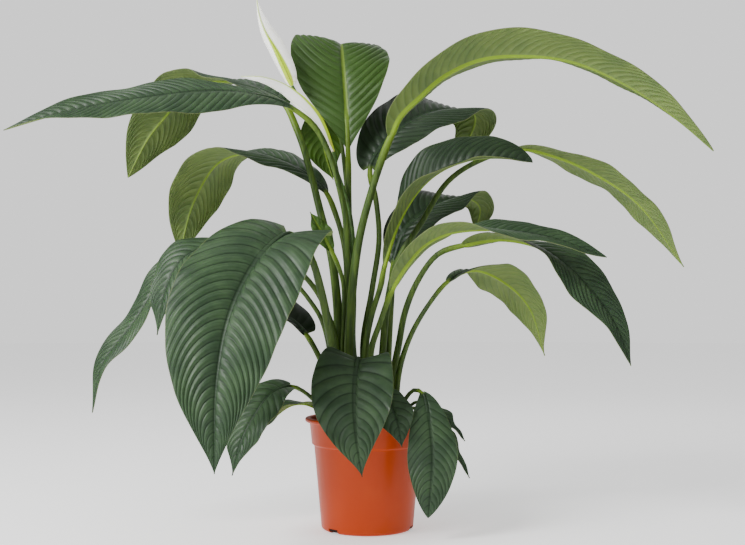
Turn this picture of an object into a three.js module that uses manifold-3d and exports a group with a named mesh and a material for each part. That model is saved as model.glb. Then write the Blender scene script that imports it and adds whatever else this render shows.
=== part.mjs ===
// Peace lily in a nursery pot: arching leaves on long stalks, two hooded blooms, potting soil and a
// thin plastic pot. Millimetres, +Z up, origin at the middle of the pot's underside.
import * as THREE from 'three';
import { mergeVertices } from 'three/addons/utils/BufferGeometryUtils.js';
import Module from 'manifold-3d';

const wasm = await Module();
wasm.setup();

// ---- Driving dimensions ------------------------------------------------------------------------

const POT_HEIGHT = 213;
const RIM_RADIUS = 120; // outside of the rolled lip
const LIP_HEIGHT = 8;
const COLLAR_TOP_RADIUS = 111.5;
const COLLAR_FOOT_RADIUS = 107;
const COLLAR_HEIGHT = 50; // from the lip's top down to the collar's lower edge
const BODY_TOP_RADIUS = 102.5;
const BODY_FOOT_RADIUS = 88.5;
const FOOT_RADIUS = 86;
const FOOT_CHAMFER = 5;
const FOOT_ROUND = 1.5;
const COLLAR_STEP = 3; // height of the slope between body and collar
const LIP_ROUND = 2;
const LIP_FLARE = 1; // how much the lip's inner edge opens
const WALL = 2.2;
const FLOOR = 3;
const POT_SIDES = 40;
const DRAIN_COUNT = 3;
const DRAIN_WIDTH = 24;
const DRAIN_HEIGHT = 9;
const DRAIN_TURN = -16.5; // degrees from +X to the first drain notch
const DRAIN_DEPTH = 44; // from outside the wall inwards, across the floor's edge
const DRAIN_OFFSET = -7; // from the wall's foot to the middle of that depth, below 0 for inwards

const SOIL_TOP = 190; // level at the pot's wall
const SOIL_MOUND = 5; // how much the middle stands above that level
const SOIL_SLOPE = [[82, 0.3], [50, 0.8]]; // radius, and the share of the mound reached there
const SOIL_GAP = 0.4; // between the soil and the pot
const SOIL_EDGE_GAP = 1; // added at the surface, where the soil has shrunk from the wall
const SOIL_STEP = 6; // height in which the soil follows the wall's step
const HOLE_ROOM = 1.6; // how much wider a stalk's hole is than the stalk, on each side
const HOLE_BELOW = 1; // how far a hole goes on under the stalk's foot
const HOLE_ABOVE = 8; // how far the cut goes on above the soil

const BLADE_THICKNESS = 1;
const WAVE_SHIFT = 1.7; // by how many radians the right margin's waves lag behind the left margin's
const TIP_RADIUS = 0.9; // the midrib's radius at the leaf's tip
const RIB_TAPER = 0.7; // below 1 thins the midrib sooner after the base
const STATION_LENGTH = 46; // spacing of the cross-sections along a blade
const MOST_BLADE_STATIONS = 12;
const FEWEST_BLADE_STATIONS = 7;
const STALK_STATION_LENGTH = 62;
const FEWEST_STALK_STATIONS = 3;
const HALF_COLUMNS = 2; // strips from midrib to margin on each half of a blade
const FINE_STEPS = 160; // short steps that measure a route
const ROUND_SIDES = 8; // of a bloom's stalk and of the holes in the soil

const BLOOM_STALK = [4, 3.4]; // radius at the foot and under the bloom
const BLOOM_STALK_STATIONS = 14;
const PART_GAP = 0.4; // between a bloom's stalk, hood and spike
const HOOD_RIB = 1.4;
const HOOD_WAVE = [1.5, 1];
const HOOD_OFFSET = 1.8; // from the stalk's middle to the hood's midrib, where they meet
const SPIKE_LENGTH = 56;
const SPIKE_RADIUS = 4.4;
const SPIKE_FOOT_RADIUS = 1.3;
const SPIKE_LIFT = 1; // from the stalk's end to the spike's foot, along the stalk
const SPIKE_FOOT_OFFSET = 1.9; // from the stalk's middle to the spike's foot
const SPIKE_TOP_OFFSET = 13; // from the hood's midrib to the spike's top
const FLORET_ROWS = 8; // pairs of rings of bumps on a spike
const FLORET_SIDES = 10;
const FLORET_HEIGHT = 0.8;

const SAME_POINT = 2e-3; // corners closer than this are one corner

const POT_COLOUR = 0xc85a30;
const SOIL_COLOUR = 0x1d140e;
const LEAF_COLOUR = 0x35502f;
const STALK_COLOUR = 0x4c6b3c;
const HOOD_COLOUR = 0xf6f6ee;
const SPIKE_COLOUR = 0xeae6c2;

// Every leaf is one piece: a stalk from the soil and the blade that it carries.
//   path    points on the stalk and the midrib, from the foot in the soil to the tip
//   base    index of the path point where the blade begins
//   halves  width of the left and the right half at the blade's widest
//   faces   directions that the blade's upper face looks in, from its base to its tip
//   fold    degrees that the left and right half rise from the midrib
//   curl    degrees that each half rises more at the tip than at the base
//   droop   degrees that each half turns down again between midrib and margin
//   stalk   radius at the foot and at the blade's base
//   swell   below 1 moves the widest place towards the base
//   ends    how pointed the base and the tip are; a small number is blunt
//   lobe    how far the base's corners reach back past the stalk's end
//   wave    height of the margin's waves, and how many there are
const LEAVES = {
  leaf_left_long: {
    path: [
      [-36, 4, 165], [-39, 14, 342], [-38, 13, 439], [-40, 5, 527], [-42, 2, 595], [-53, -8, 652],
      [-74, -26, 722], [-102, -42, 772], [-143, -60, 803], [-180, -70, 820], [-239, -84, 829],
      [-311, -102, 827], [-400, -122, 813], [-492, -138, 794], [-576, -150, 771], [-657, -160, 744],
    ],
    base: 8, halves: [66, 45],
    faces: [[0, -0.5, 0.86], [0, -0.62, 0.78], [0, -0.6, 0.8], [0, -0.45, 0.9]],
    fold: [-4, 4], droop: [24, 16], stalk: [9, 5],
    swell: 0.85, ends: [1, 0.9], lobe: 8, wave: [5, 2.5], curl: [38, 44],
  },
  leaf_left_upper_back: {
    path: [
      [-32, 30, 165], [-54, 28, 341], [-60, 32, 439], [-72, 40, 529], [-95, 52, 619], [-118, 68, 709],
      [-143, 86, 785], [-171, 104, 842], [-219, 124, 877], [-277, 144, 896], [-332, 164, 900],
      [-385, 176, 879], [-428, 182, 831], [-466, 184, 783], [-508, 184, 700],
    ],
    base: 7, halves: [95, 98],
    faces: [[0, -0.4, 0.9], [-0.3, 0, 0.95], [-0.6, 0.3, 0.75], [-0.6, 0.8, 0.2], [-0.6, 0.8, 0.1]],
    fold: [8, 14], droop: [15, 15], stalk: [11, 6],
    swell: 0.8, ends: [0.78, 0.88], lobe: 8, wave: [5, 2.5],
  },
  leaf_left_middle_back: {
    path: [
      [-14, 46, 165], [-39, 50, 340], [-39, 54, 460], [-47, 66, 550], [-64, 80, 612], [-85, 94, 660],
      [-120, 108, 696], [-164, 120, 723], [-215, 132, 741], [-266, 144, 745], [-313, 154, 727],
      [-347, 160, 682], [-374, 162, 619], [-393, 162, 533],
    ],
    base: 5, halves: [94, 93],
    faces: [[0, -0.3, 0.95], [0, -0.28, 0.96], [-0.5, 0.1, 0.86], [-0.52, 0.7, 0.42], [-0.45, 0.88, 0.15]],
    fold: [10, 14], droop: [20, 24], stalk: [8, 5],
    swell: 0.95, ends: [0.9, 1], lobe: 8, wave: [5, 2.5],
  },
  leaf_front_left_broad: {
    path: [
      [-50, -34, 165], [-65, -48, 344], [-76, -58, 404], [-87, -70, 457], [-101, -90, 509],
      [-118, -112, 543], [-140, -138, 557], [-175, -192, 532], [-211, -242, 471], [-236, -286, 394],
      [-248, -320, 290], [-246, -345, 153],
    ],
    base: 6, halves: [107, 112],
    faces: [[-0.2, -0.5, 0.85], [-0.1, -0.8, 0.55], [-0.1, -0.95, 0.25], [-0.1, -0.98, 0.1]],
    fold: [18, 32], droop: [30, 48], stalk: [11, 6],
    swell: 0.7, ends: [0.26, 1.1], lobe: 54, wave: [5, 2.5],
  },
  leaf_left_outer_drooping: {
    path: [
      [-54, 18, 165], [-57, 2, 342], [-72, -4, 400], [-99, -10, 458], [-145, -14, 506],
      [-207, -18, 535], [-274, -24, 544], [-336, -30, 534], [-388, -40, 484], [-441, -52, 397],
      [-497, -62, 318], [-515, -68, 227],
    ],
    base: 5, halves: [62, 42],
    faces: [[0, 0, 1], [-0.6, -0.5, 0.6], [-0.7, -0.6, 0.3], [-0.8, -0.6, 0]],
    fold: [20, 20], droop: [20, 20], stalk: [7, 5],
    swell: 0.8, ends: [0.6, 0.9], lobe: 8, wave: [5, 2.5],
  },
  leaf_left_inner_drooping: {
    path: [
      [-62, -6, 165], [-73, -28, 347], [-88, -40, 404], [-107, -48, 435], [-127, -56, 461],
      [-168, -70, 504], [-222, -86, 533], [-287, -106, 538], [-336, -128, 514], [-362, -145, 464],
      [-377, -158, 374],
    ],
    base: 6, halves: [60, 60],
    faces: [[0, -0.2, 0.95], [-0.4, -0.5, 0.75], [-0.6, -0.7, 0.3], [-0.6, -0.8, 0]],
    fold: [18, 18], droop: [30, 30], stalk: [6, 4],
    swell: 0.8, ends: [0.7, 1.3], lobe: 8, wave: [5, 2.5],
  },
  leaf_top_centre: {
    path: [
      [-14, 18, 165], [-34, 34, 341], [-35, 40, 499], [-37, 48, 639], [-39, 56, 740], [-44, 72, 844],
      [-50, 95, 918], [-56, 150, 977], [-60, 215, 976], [-64, 262, 936],
    ],
    base: 4, halves: [108, 98],
    faces: [[0, -0.9, 0.3], [-0.05, -0.8, 0.55], [0.15, -0.25, 0.95], [0, 0.5, 0.8]],
    fold: [14, 14], droop: [20, 20], stalk: [9, 5],
    swell: 1.12, ends: [0.95, 1.1], lobe: 2, wave: [5, 2.5],
  },
  leaf_right_high_arch: {
    path: [
      [-22, -14, 165], [-35, -18, 339], [-33, -20, 395], [-27, -24, 477], [-14, -32, 563],
      [9, -42, 649], [32, -54, 718], [47, -60, 753], [62, -64, 785], [98, -72, 820], [143, -80, 858],
      [212, -90, 888], [295, -98, 893], [387, -104, 879], [499, -108, 826], [578, -110, 769],
      [641, -112, 713],
    ],
    base: 7, halves: [75, 64],
    faces: [[-0.5, 0.55, 0.6], [-0.2, 0.45, 0.85], [0.1, 0.35, 0.9], [0.4, 0.3, 0.85]],
    fold: [40, 20], droop: [12, 22], stalk: [11, 6.5],
    swell: 0.8, ends: [0.6, 0.75], lobe: 8, wave: [5, 2.5],
  },
  leaf_right_upper_back: {
    path: [
      [14, 54, 165], [-9, 55, 340], [9, 58, 460], [23, 60, 560], [17, 62, 640], [5, 66, 705],
      [50, 92, 778], [117, 132, 826], [187, 178, 845], [230, 212, 837], [223, 228, 800],
      [187, 236, 762],
    ],
    base: 5, halves: [95, 70],
    faces: [[-0.5, -0.7, 0.5], [-0.2, -0.8, 0.55], [0, -0.6, 0.8], [0.3, 0.2, 0.9], [0.4, 0.9, 0.2]],
    fold: [12, 12], droop: [25, 25], stalk: [7, 5],
    swell: 0.95, ends: [0.5, 0.8], lobe: 8, wave: [5, 2.5],
  },
  leaf_right_inner_arch: {
    path: [
      [-2, -20, 165], [-4, -35, 339], [7, -42, 404], [26, -50, 467], [32, -55, 499], [58, -66, 580],
      [94, -76, 641], [136, -84, 678], [192, -92, 699], [247, -98, 702], [308, -100, 694],
    ],
    base: 4, halves: [69, 46],
    faces: [[-0.6, 0.6, 0.5], [-0.5, -0.2, 0.8], [0, -0.6, 0.8], [0, -0.7, 0.7]],
    fold: [30, 40], droop: [15, 14], stalk: [8, 5],
    swell: 1.05, ends: [0.95, 0.6], lobe: 8, wave: [5, 2.5],
  },
  leaf_right_far_tip: {
    path: [
      [22, 18, 165], [30, 15, 342], [40, 8, 439], [58, 2, 513], [104, -5, 588], [157, -8, 670],
      [219, -5, 711], [294, 0, 734], [363, 5, 721], [438, 10, 690], [531, 15, 627], [621, 20, 504],
    ],
    base: 7, halves: [56, 44],
    faces: [[0, 0.1, 1], [0.1, 0.25, 0.95], [0.4, 0.45, 0.8]],
    fold: [16, 16], droop: [20, 20], stalk: [8, 5],
    swell: 0.8, ends: [0.6, 1.1], lobe: 8, wave: [5, 2.5],
  },
  leaf_right_middle_back: {
    path: [
      [36, 46, 165], [41, 50, 340], [47, 50, 440], [53, 50, 515], [73, 60, 580], [114, 88, 620],
      [166, 124, 647], [209, 152, 654], [236, 172, 635], [229, 184, 589],
    ],
    base: 3, halves: [62, 60],
    faces: [[-0.5, -0.7, 0.5], [-0.2, -0.7, 0.6], [0, -0.5, 0.85], [0.4, 0.4, 0.8], [0.4, 0.9, 0.1]],
    fold: [18, 18], droop: [30, 30], stalk: [9, 6],
    swell: 1, ends: [0.6, 0.75], lobe: 8, wave: [5, 2.5],
  },
  leaf_right_long_low: {
    path: [
      [10, -34, 165], [7, -52, 340], [24, -60, 395], [47, -72, 457], [73, -84, 501], [108, -96, 540],
      [153, -108, 561], [244, -122, 566], [334, -132, 552], [436, -140, 515],
    ],
    base: 3, halves: [41, 52],
    faces: [[-0.5, 0.6, 0.6], [-0.2, 0.15, 0.95], [0, -0.5, 0.85], [0.1, -0.65, 0.75]],
    fold: [20, 20], droop: [20, 20], stalk: [8, 5],
    swell: 0.95, ends: [0.7, 0.8], lobe: 8, wave: [5, 2.5],
  },
  leaf_right_drooping: {
    path: [
      [44, 2, 165], [50, 0, 292], [61, -4, 354], [73, -8, 416], [98, -14, 477], [136, -22, 527],
      [187, -32, 544], [262, -48, 553], [339, -68, 530], [410, -85, 466], [459, -95, 395],
      [488, -98, 316],
    ],
    base: 6, halves: [64, 67],
    faces: [[0, 0.4, 0.9], [0.1, -0.2, 0.95], [0.4, -0.75, 0.5], [0.7, -0.7, 0.1]],
    fold: [15, 15], droop: [20, 20], stalk: [8, 5],
    swell: 0.8, ends: [0.7, 1], lobe: 8, wave: [5, 2.5],
  },
  leaf_right_lower_arch: {
    path: [
      [54, -22, 165], [59, -26, 290], [80, -30, 364], [118, -32, 431], [158, -30, 477],
      [205, -22, 496], [267, 0, 472], [316, 14, 424], [347, 20, 330],
    ],
    base: 4, halves: [55, 47],
    faces: [[-0.2, -0.4, 0.9], [0.1, 0.5, 0.85], [0.5, 0.7, 0.5], [0.7, 0.7, 0.2]],
    fold: [16, 16], droop: [25, 25], stalk: [7, 4],
    swell: 0.8, ends: [0.7, 1.3], lobe: 8, wave: [5, 2.5],
  },
  leaf_front_centre: {
    path: [
      [-12, -62, 165], [-13, -78, 252], [-13, -98, 305], [-16, -124, 330], [-21, -156, 301],
      [-23, -178, 254], [-19, -190, 196], [-8, -196, 126],
    ],
    base: 3, halves: [70, 77],
    faces: [[0, -0.6, 0.8], [0, -0.85, 0.5], [0, -0.98, 0.15], [0, -1, 0]],
    fold: [14, 14], droop: [20, 20], stalk: [7, 5],
    swell: 0.6, ends: [0.34, 1.25], lobe: 34, wave: [5, 2.5],
  },
  leaf_front_left_low: {
    path: [
      [-70, -36, 165], [-80, -48, 227], [-98, -60, 248], [-120, -72, 268], [-143, -86, 278],
      [-176, -112, 267], [-205, -134, 227], [-225, -148, 186], [-241, -158, 123],
    ],
    base: 4, halves: [46, 46],
    faces: [[-0.1, -0.6, 0.8], [-0.4, -0.8, 0.45], [-0.5, -0.85, 0.1]],
    fold: [16, 16], droop: [20, 20], stalk: [5, 3.5],
    swell: 0.8, ends: [0.7, 1.3], lobe: 8, wave: [5, 2.5],
  },
  leaf_left_low_slim: {
    path: [
      [-80, 6, 165], [-76, 2, 211], [-99, -8, 231], [-123, -20, 240], [-147, -30, 237],
      [-173, -44, 219], [-196, -56, 197], [-212, -64, 176],
    ],
    base: 2, halves: [24, 24],
    faces: [[0, 0, 1], [-0.3, -0.1, 0.9], [-0.6, -0.4, 0.6]],
    fold: [20, 20], droop: [10, 10], stalk: [4, 3],
    swell: 0.8, ends: [0.7, 1.3], lobe: 8, wave: [5, 2.5],
  },
  leaf_front_right_low: {
    path: [
      [66, -40, 165], [62, -56, 231], [73, -70, 255], [87, -86, 271], [103, -104, 265],
      [113, -124, 219], [118, -136, 148], [110, -142, 45],
    ],
    base: 4, halves: [46, 46],
    faces: [[0.1, -0.6, 0.8], [0.1, -0.9, 0.3], [0.05, -1, 0]],
    fold: [12, 12], droop: [20, 20], stalk: [5, 3.5],
    swell: 1, ends: [0.75, 0.8], lobe: 8, wave: [5, 2.5],
  },
  leaf_front_right_inner: {
    path: [
      [30, -66, 165], [20, -82, 237], [20, -98, 259], [29, -112, 269], [42, -134, 249],
      [54, -146, 218], [63, -150, 173],
    ],
    base: 3, halves: [35, 35],
    faces: [[0, -0.6, 0.8], [0.2, -0.9, 0.3], [0.2, -0.95, 0.1]],
    fold: [10, 10], droop: [15, 15], stalk: [5, 3.5],
    swell: 0.8, ends: [0.7, 1.3], lobe: 8, wave: [5, 2.5],
  },
  leaf_right_low_outer: {
    path: [
      [76, -6, 165], [78, -14, 231], [101, -22, 245], [127, -32, 235], [157, -44, 206],
      [185, -50, 172],
    ],
    base: 2, halves: [19, 19],
    faces: [[0, -0.3, 0.95], [0.5, -0.4, 0.7], [0.7, -0.5, 0.3]],
    fold: [15, 15], droop: [20, 20], stalk: [4, 3],
    swell: 0.8, ends: [0.7, 1.3], lobe: 8, wave: [5, 2.5],
  },
  leaf_right_low_under: {
    path: [
      [74, -24, 165], [73, -46, 227], [96, -60, 235], [121, -74, 214], [150, -88, 177],
      [171, -96, 143], [189, -100, 110],
    ],
    base: 2, halves: [20, 20],
    faces: [[0, -0.4, 0.9], [0.5, -0.6, 0.5], [0.7, -0.6, 0.2]],
    fold: [15, 15], droop: [20, 20], stalk: [4, 3],
    swell: 0.8, ends: [0.7, 1.3], lobe: 8, wave: [5, 2.5],
  },
  leaf_young_rolled: {
    path: [
      [-40, -10, 165], [-47, -4, 342], [-45, -6, 420], [-47, -10, 474], [-59, -12, 512],
      [-72, -16, 539], [-82, -20, 558], [-95, -26, 581], [-110, -30, 608],
    ],
    base: 5, halves: [19, 19],
    faces: [[0.3, -0.9, 0.2], [0.3, -0.95, 0]],
    fold: [30, 30], droop: [30, 30], stalk: [6, 4],
    swell: 0.8, ends: [0.7, 1.3], lobe: 8, wave: [5, 2.5],
  },
  leaf_left_low_back: {
    path: [
      [-73, 22, 165], [-67, 22, 259], [-95, 34, 327], [-122, 46, 372], [-155, 60, 404],
      [-192, 76, 416], [-228, 92, 390], [-243, 104, 339], [-247, 110, 267],
    ],
    base: 3, halves: [20, 52],
    faces: [[0.3, -0.5, 0.85], [-0.2, -0.5, 0.85], [-0.8, -0.5, 0.1]],
    fold: [18, 18], droop: [20, 20], stalk: [8, 5],
    swell: 0.8, ends: [0.3, 1], lobe: 4, wave: [5, 2.5],
  },
  leaf_centre_hanging: {
    path: [
      [0, 66, 165], [-29, 66, 340], [-33, 72, 500], [-42, 80, 662], [-60, 94, 791], [-80, 118, 840],
      [-95, 142, 805], [-89, 150, 750], [-72, 152, 691],
    ],
    base: 5, halves: [48, 48],
    faces: [[-0.3, 0.1, 0.95], [-0.35, 0.8, 0.3], [-0.3, 0.95, 0]],
    fold: [15, 15], droop: [20, 20], stalk: [7, 4],
    swell: 0.8, ends: [0.7, 1.3], lobe: 8, wave: [5, 2.5],
  },
};

// Each bloom has a stalk, a white hood (the spathe) and the spike inside the hood (the spadix).
//   inward  direction from the hood's midrib to the spike
const BLOOMS = {
  upright: {
    stalk: [
      [6, 20, 165], [-25, 8, 342], [-25, 16, 439], [-26, 27, 538], [-35, 35, 614], [-54, 36, 677],
      [-76, 36, 727], [-98, 38, 771], [-122, 34, 812], [-149, 28, 863],
    ],
    hood: [
      [-151, 27, 867], [-165, 24, 898], [-185, 20, 939], [-204, 17, 974], [-214, 15, 1004],
      [-218, 13, 1031],
    ],
    inward: [0.3, 0.92, -0.2], halves: [27, 25],
    fold: [20, 26], droop: [-45, -50], swell: 0.7, ends: [0.5, 0.95],
  },
  leaning: {
    stalk: [
      [-2, 0, 165], [-26, -3, 342], [-26, 0, 439], [-28, 11, 513], [-37, 17, 576], [-48, 17, 639],
      [-58, 13, 686], [-67, 8, 729],
    ],
    hood: [
      [-68, 7, 734], [-79, -8, 771], [-95, -22, 800], [-123, -38, 828], [-159, -54, 850],
      [-198, -78, 858], [-236, -96, 855],
    ],
    inward: [-0.3, 0.2, -0.9], halves: [25, 23],
    fold: [54, 54], droop: [-18, -18], swell: 0.85, ends: [0.55, 0.9],
  },
};

// ---- Building blocks ---------------------------------------------------------------------------

const radians = THREE.MathUtils.degToRad;

function vector(values) {
  return new THREE.Vector3(...values);
}

function solidOf(geometry) {
  const bare = geometry.clone();
  bare.deleteAttribute('normal');
  bare.deleteAttribute('uv');
  const merged = mergeVertices(bare, SAME_POINT);
  const mesh = new wasm.Mesh({
    numProp: 3,
    vertProperties: new Float32Array(merged.attributes.position.array),
    triVerts: new Uint32Array(merged.index.array),
  });
  return new wasm.Manifold(mesh);
}

function geometryOf(solid) {
  const mesh = solid.getMesh();
  const geometry = new THREE.BufferGeometry();
  geometry.setAttribute('position', new THREE.BufferAttribute(mesh.vertProperties, 3));
  geometry.setIndex(new THREE.BufferAttribute(mesh.triVerts, 1));
  geometry.computeVertexNormals();
  return geometry;
}

// A closed skin from rings of points, joined ring to ring and capped at both ends.
// Each ring has its upper points from left to right and as many lower points under them.
function skin(rings) {
  const columns = rings[0].upper.length;
  const positions = [];
  for (const ring of rings) {
    for (const point of [...ring.upper, ...ring.lower]) positions.push(point.x, point.y, point.z);
  }
  const upper = (station, column) => station * columns * 2 + column;
  const lower = (station, column) => upper(station, column) + columns;
  const triangles = [];
  const quad = (a, b, c, d) => triangles.push([a, c, b], [a, d, c]);
  for (let station = 0; station < rings.length - 1; station++) {
    const next = station + 1;
    for (let column = 0; column < columns - 1; column++) {
      const right = column + 1;
      quad(upper(station, column), upper(next, column), upper(next, right), upper(station, right));
      triangles.push([lower(station, column), lower(next, column), lower(next, right)]);
      triangles.push([lower(station, column), lower(next, right), lower(station, right)]);
    }
    const last = columns - 1;
    quad(upper(station, last), upper(next, last), lower(next, last), lower(station, last));
    quad(lower(station, 0), lower(next, 0), upper(next, 0), upper(station, 0));
  }
  const end = rings.length - 1;
  for (let column = 0; column < columns - 1; column++) {
    const right = column + 1;
    triangles.push([upper(0, column), lower(0, right), upper(0, right)]);
    triangles.push([upper(0, column), lower(0, column), lower(0, right)]);
    triangles.push([upper(end, column), upper(end, right), lower(end, right)]);
    triangles.push([upper(end, column), lower(end, right), lower(end, column)]);
  }
  return closedGeometry(positions, triangles);
}

// Shared corners are merged, and the triangles that this leaves without an area are dropped.
function closedGeometry(positions, triangles) {
  const loose = new THREE.BufferGeometry();
  loose.setAttribute('position', new THREE.Float32BufferAttribute(positions, 3));
  loose.setIndex(triangles.flat());
  const merged = mergeVertices(loose, SAME_POINT);
  const index = merged.index.array;
  const kept = [];
  for (let i = 0; i < index.length; i += 3) {
    const [a, b, c] = [index[i], index[i + 1], index[i + 2]];
    if (a !== b && b !== c && c !== a) kept.push(a, b, c);
  }
  merged.setIndex(kept);
  merged.computeVertexNormals();
  return merged;
}

// Points at equal distances along a stretch of a curve, with the curve's direction at each.
function walk(curve, from, to, steps) {
  const at = (t) => curve.getPoint(THREE.MathUtils.clamp(t, 0, 1));
  const reach = [0];
  for (let i = 1; i <= FINE_STEPS; i++) {
    const before = at(from + ((to - from) * (i - 1)) / FINE_STEPS);
    reach.push(reach[i - 1] + before.distanceTo(at(from + ((to - from) * i) / FINE_STEPS)));
  }
  const stops = [];
  let segment = 0;
  for (let step = 0; step <= steps; step++) {
    const wanted = (reach[FINE_STEPS] * step) / steps;
    while (segment < FINE_STEPS - 1 && reach[segment + 1] < wanted) segment++;
    const part = (wanted - reach[segment]) / (reach[segment + 1] - reach[segment]);
    const t = from + ((to - from) * (segment + part)) / FINE_STEPS;
    const heading = at(t + 1e-3).sub(at(t - 1e-3)).normalize();
    stops.push({ point: at(t), heading });
  }
  return stops;
}

function stretchLength(curve, from, to) {
  let length = 0;
  for (let i = 0; i < FINE_STEPS; i++) {
    const a = curve.getPoint(from + ((to - from) * i) / FINE_STEPS);
    length += a.distanceTo(curve.getPoint(from + ((to - from) * (i + 1)) / FINE_STEPS));
  }
  return length;
}

function facing(faces, u) {
  const place = (faces.length - 1) * u;
  const first = Math.min(Math.floor(place), faces.length - 2);
  const a = vector(faces[first]).normalize();
  const b = vector(faces[first + 1]).normalize();
  return a.lerp(b, place - first);
}

// One half of a blade's cross-section: points that leave the midrib at the fold's angle and bend
// down by the droop, in the plane of the side direction (x) and the face direction (z).
function halfSection(leaf, side, u, spread, rib) {
  const which = side < 0 ? 0 : 1;
  const fold = radians(leaf.fold[which] + (leaf.curl ?? [0, 0])[which] * u * u);
  const droop = radians(leaf.droop[which]);
  const reach = Math.max(leaf.halves[which] * spread - rib, 0);
  const [waveHeight, waveCount] = leaf.wave;
  const phase = side < 0 ? 0 : WAVE_SHIFT;
  const wave = waveHeight * Math.sin(2 * Math.PI * waveCount * u + phase) * Math.sin(Math.PI * u);
  const points = [];
  for (let column = 1; column <= HALF_COLUMNS; column++) {
    const v = column / HALF_COLUMNS;
    const slope = fold - droop * v;
    const out = (reach * (Math.sin(fold) - Math.sin(slope))) / droop;
    const up = (reach * (Math.cos(slope) - Math.cos(fold))) / droop;
    const open = reach > 0;
    points.push({
      x: side * (rib + out),
      z: up + (open ? wave * v * v : 0),
      back: open ? leaf.lobe * v ** 1.5 * Math.max(0, 1 - 2 * u) ** 2 : 0,
      leanX: open ? -side * Math.sin(slope) : 0,
      leanZ: open ? Math.cos(slope) : 0,
    });
  }
  return points;
}

// A ring of a leaf: the stalk or midrib in the middle and a half blade on each side of it.
function leafRing(leaf, stop, u, spread, rib, groove) {
  const heading = stop.heading;
  const face = facing(leaf.faces, u);
  face.addScaledVector(heading, -face.dot(heading)).normalize();
  const side = new THREE.Vector3().crossVectors(heading, face);
  const place = (x, z, back) =>
    stop.point.clone().addScaledVector(side, x).addScaledVector(face, z).addScaledVector(heading, -back);
  const ring = { upper: [], lower: [] };
  const halfThick = spread > 0 ? BLADE_THICKNESS / 2 : 0;
  const addHalf = (points) => {
    for (const { x, z, back, leanX, leanZ } of points) {
      ring.upper.push(place(x + leanX * halfThick, z + leanZ * halfThick, back));
      ring.lower.push(place(x - leanX * halfThick, z - leanZ * halfThick, back));
    }
  };
  addHalf(halfSection(leaf, -1, u, spread, rib).reverse());
  for (const across of [-1, -0.5, 0.5, 1]) {
    const height = Math.sqrt(1 - across * across) * rib;
    ring.upper.push(place(across * rib, height * groove + halfThick, 0));
    ring.lower.push(place(across * rib, -height - halfThick, 0));
  }
  addHalf(halfSection(leaf, 1, u, spread, rib));
  return ring;
}

function outlineAt(leaf, u) {
  if (u <= 0 || u >= 1) return 0;
  const [bluntness, pointedness] = leaf.ends;
  return Math.sin(Math.PI * u ** leaf.swell) ** (bluntness + (pointedness - bluntness) * u);
}

function leafGeometry(leaf) {
  const curve = new THREE.CatmullRomCurve3(leaf.path.map(vector), false, 'centripetal');
  const base = leaf.base / (leaf.path.length - 1);
  const rings = [];
  const [foot, neck] = leaf.stalk;
  if (leaf.base > 0) {
    const stretches = Math.round(stretchLength(curve, 0, base) / STALK_STATION_LENGTH);
    const steps = Math.max(FEWEST_STALK_STATIONS, stretches);
    walk(curve, 0, base, steps).slice(0, -1).forEach((stop, i) => {
      rings.push(leafRing(leaf, stop, 0, 0, foot + ((neck - foot) * i) / steps, 1));
    });
  }
  const wanted = Math.round(stretchLength(curve, base, 1) / STATION_LENGTH);
  const steps = THREE.MathUtils.clamp(wanted, FEWEST_BLADE_STATIONS, MOST_BLADE_STATIONS);
  walk(curve, base, 1, steps).forEach((stop, i) => {
    const u = i / steps;
    const rib = neck + (TIP_RADIUS - neck) * u ** RIB_TAPER;
    rings.push(leafRing(leaf, stop, u, outlineAt(leaf, u), rib, 1 - Math.min(1, 4 * u)));
  });
  return skin(rings);
}

// A round rod along a path, with a radius that goes evenly from one end to the other.
function rodGeometry(path, radii, sides, steps) {
  const curve = new THREE.CatmullRomCurve3(path.map(vector), false, 'centripetal');
  const positions = [];
  const triangles = [];
  const aside = new THREE.Vector3(0, 1, 0);
  walk(curve, 0, 1, steps).forEach((stop, i) => {
    const radius = radii[0] + ((radii[1] - radii[0]) * i) / steps;
    const first = new THREE.Vector3().crossVectors(stop.heading, aside).normalize();
    const second = new THREE.Vector3().crossVectors(stop.heading, first);
    for (let k = 0; k < sides; k++) {
      const turn = (2 * Math.PI * k) / sides;
      const point = stop.point.clone().addScaledVector(first, radius * Math.cos(turn));
      point.addScaledVector(second, radius * Math.sin(turn));
      positions.push(point.x, point.y, point.z);
    }
  });
  for (let i = 0; i < steps; i++) {
    for (let k = 0; k < sides; k++) {
      const [a, b] = [i * sides + k, i * sides + ((k + 1) % sides)];
      triangles.push([a, b, b + sides], [a, b + sides, a + sides]);
    }
  }
  for (let k = 1; k < sides - 1; k++) {
    const top = steps * sides;
    triangles.push([0, k + 1, k], [top, top + k, top + k + 1]);
  }
  return closedGeometry(positions, triangles);
}

// ---- Pot ---------------------------------------------------------------------------------------

function potOutside() {
  return [
    [FOOT_RADIUS - FOOT_CHAMFER, 0],
    [FOOT_RADIUS, FOOT_ROUND],
    [BODY_FOOT_RADIUS, FOOT_CHAMFER],
    [BODY_TOP_RADIUS, POT_HEIGHT - COLLAR_HEIGHT - COLLAR_STEP],
    [COLLAR_FOOT_RADIUS, POT_HEIGHT - COLLAR_HEIGHT],
    [COLLAR_TOP_RADIUS, POT_HEIGHT - LIP_HEIGHT],
    [RIM_RADIUS - LIP_ROUND, POT_HEIGHT - LIP_HEIGHT],
    [RIM_RADIUS, POT_HEIGHT - LIP_HEIGHT + LIP_ROUND],
    [RIM_RADIUS, POT_HEIGHT - LIP_ROUND],
    [RIM_RADIUS - LIP_ROUND, POT_HEIGHT],
  ];
}

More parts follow.
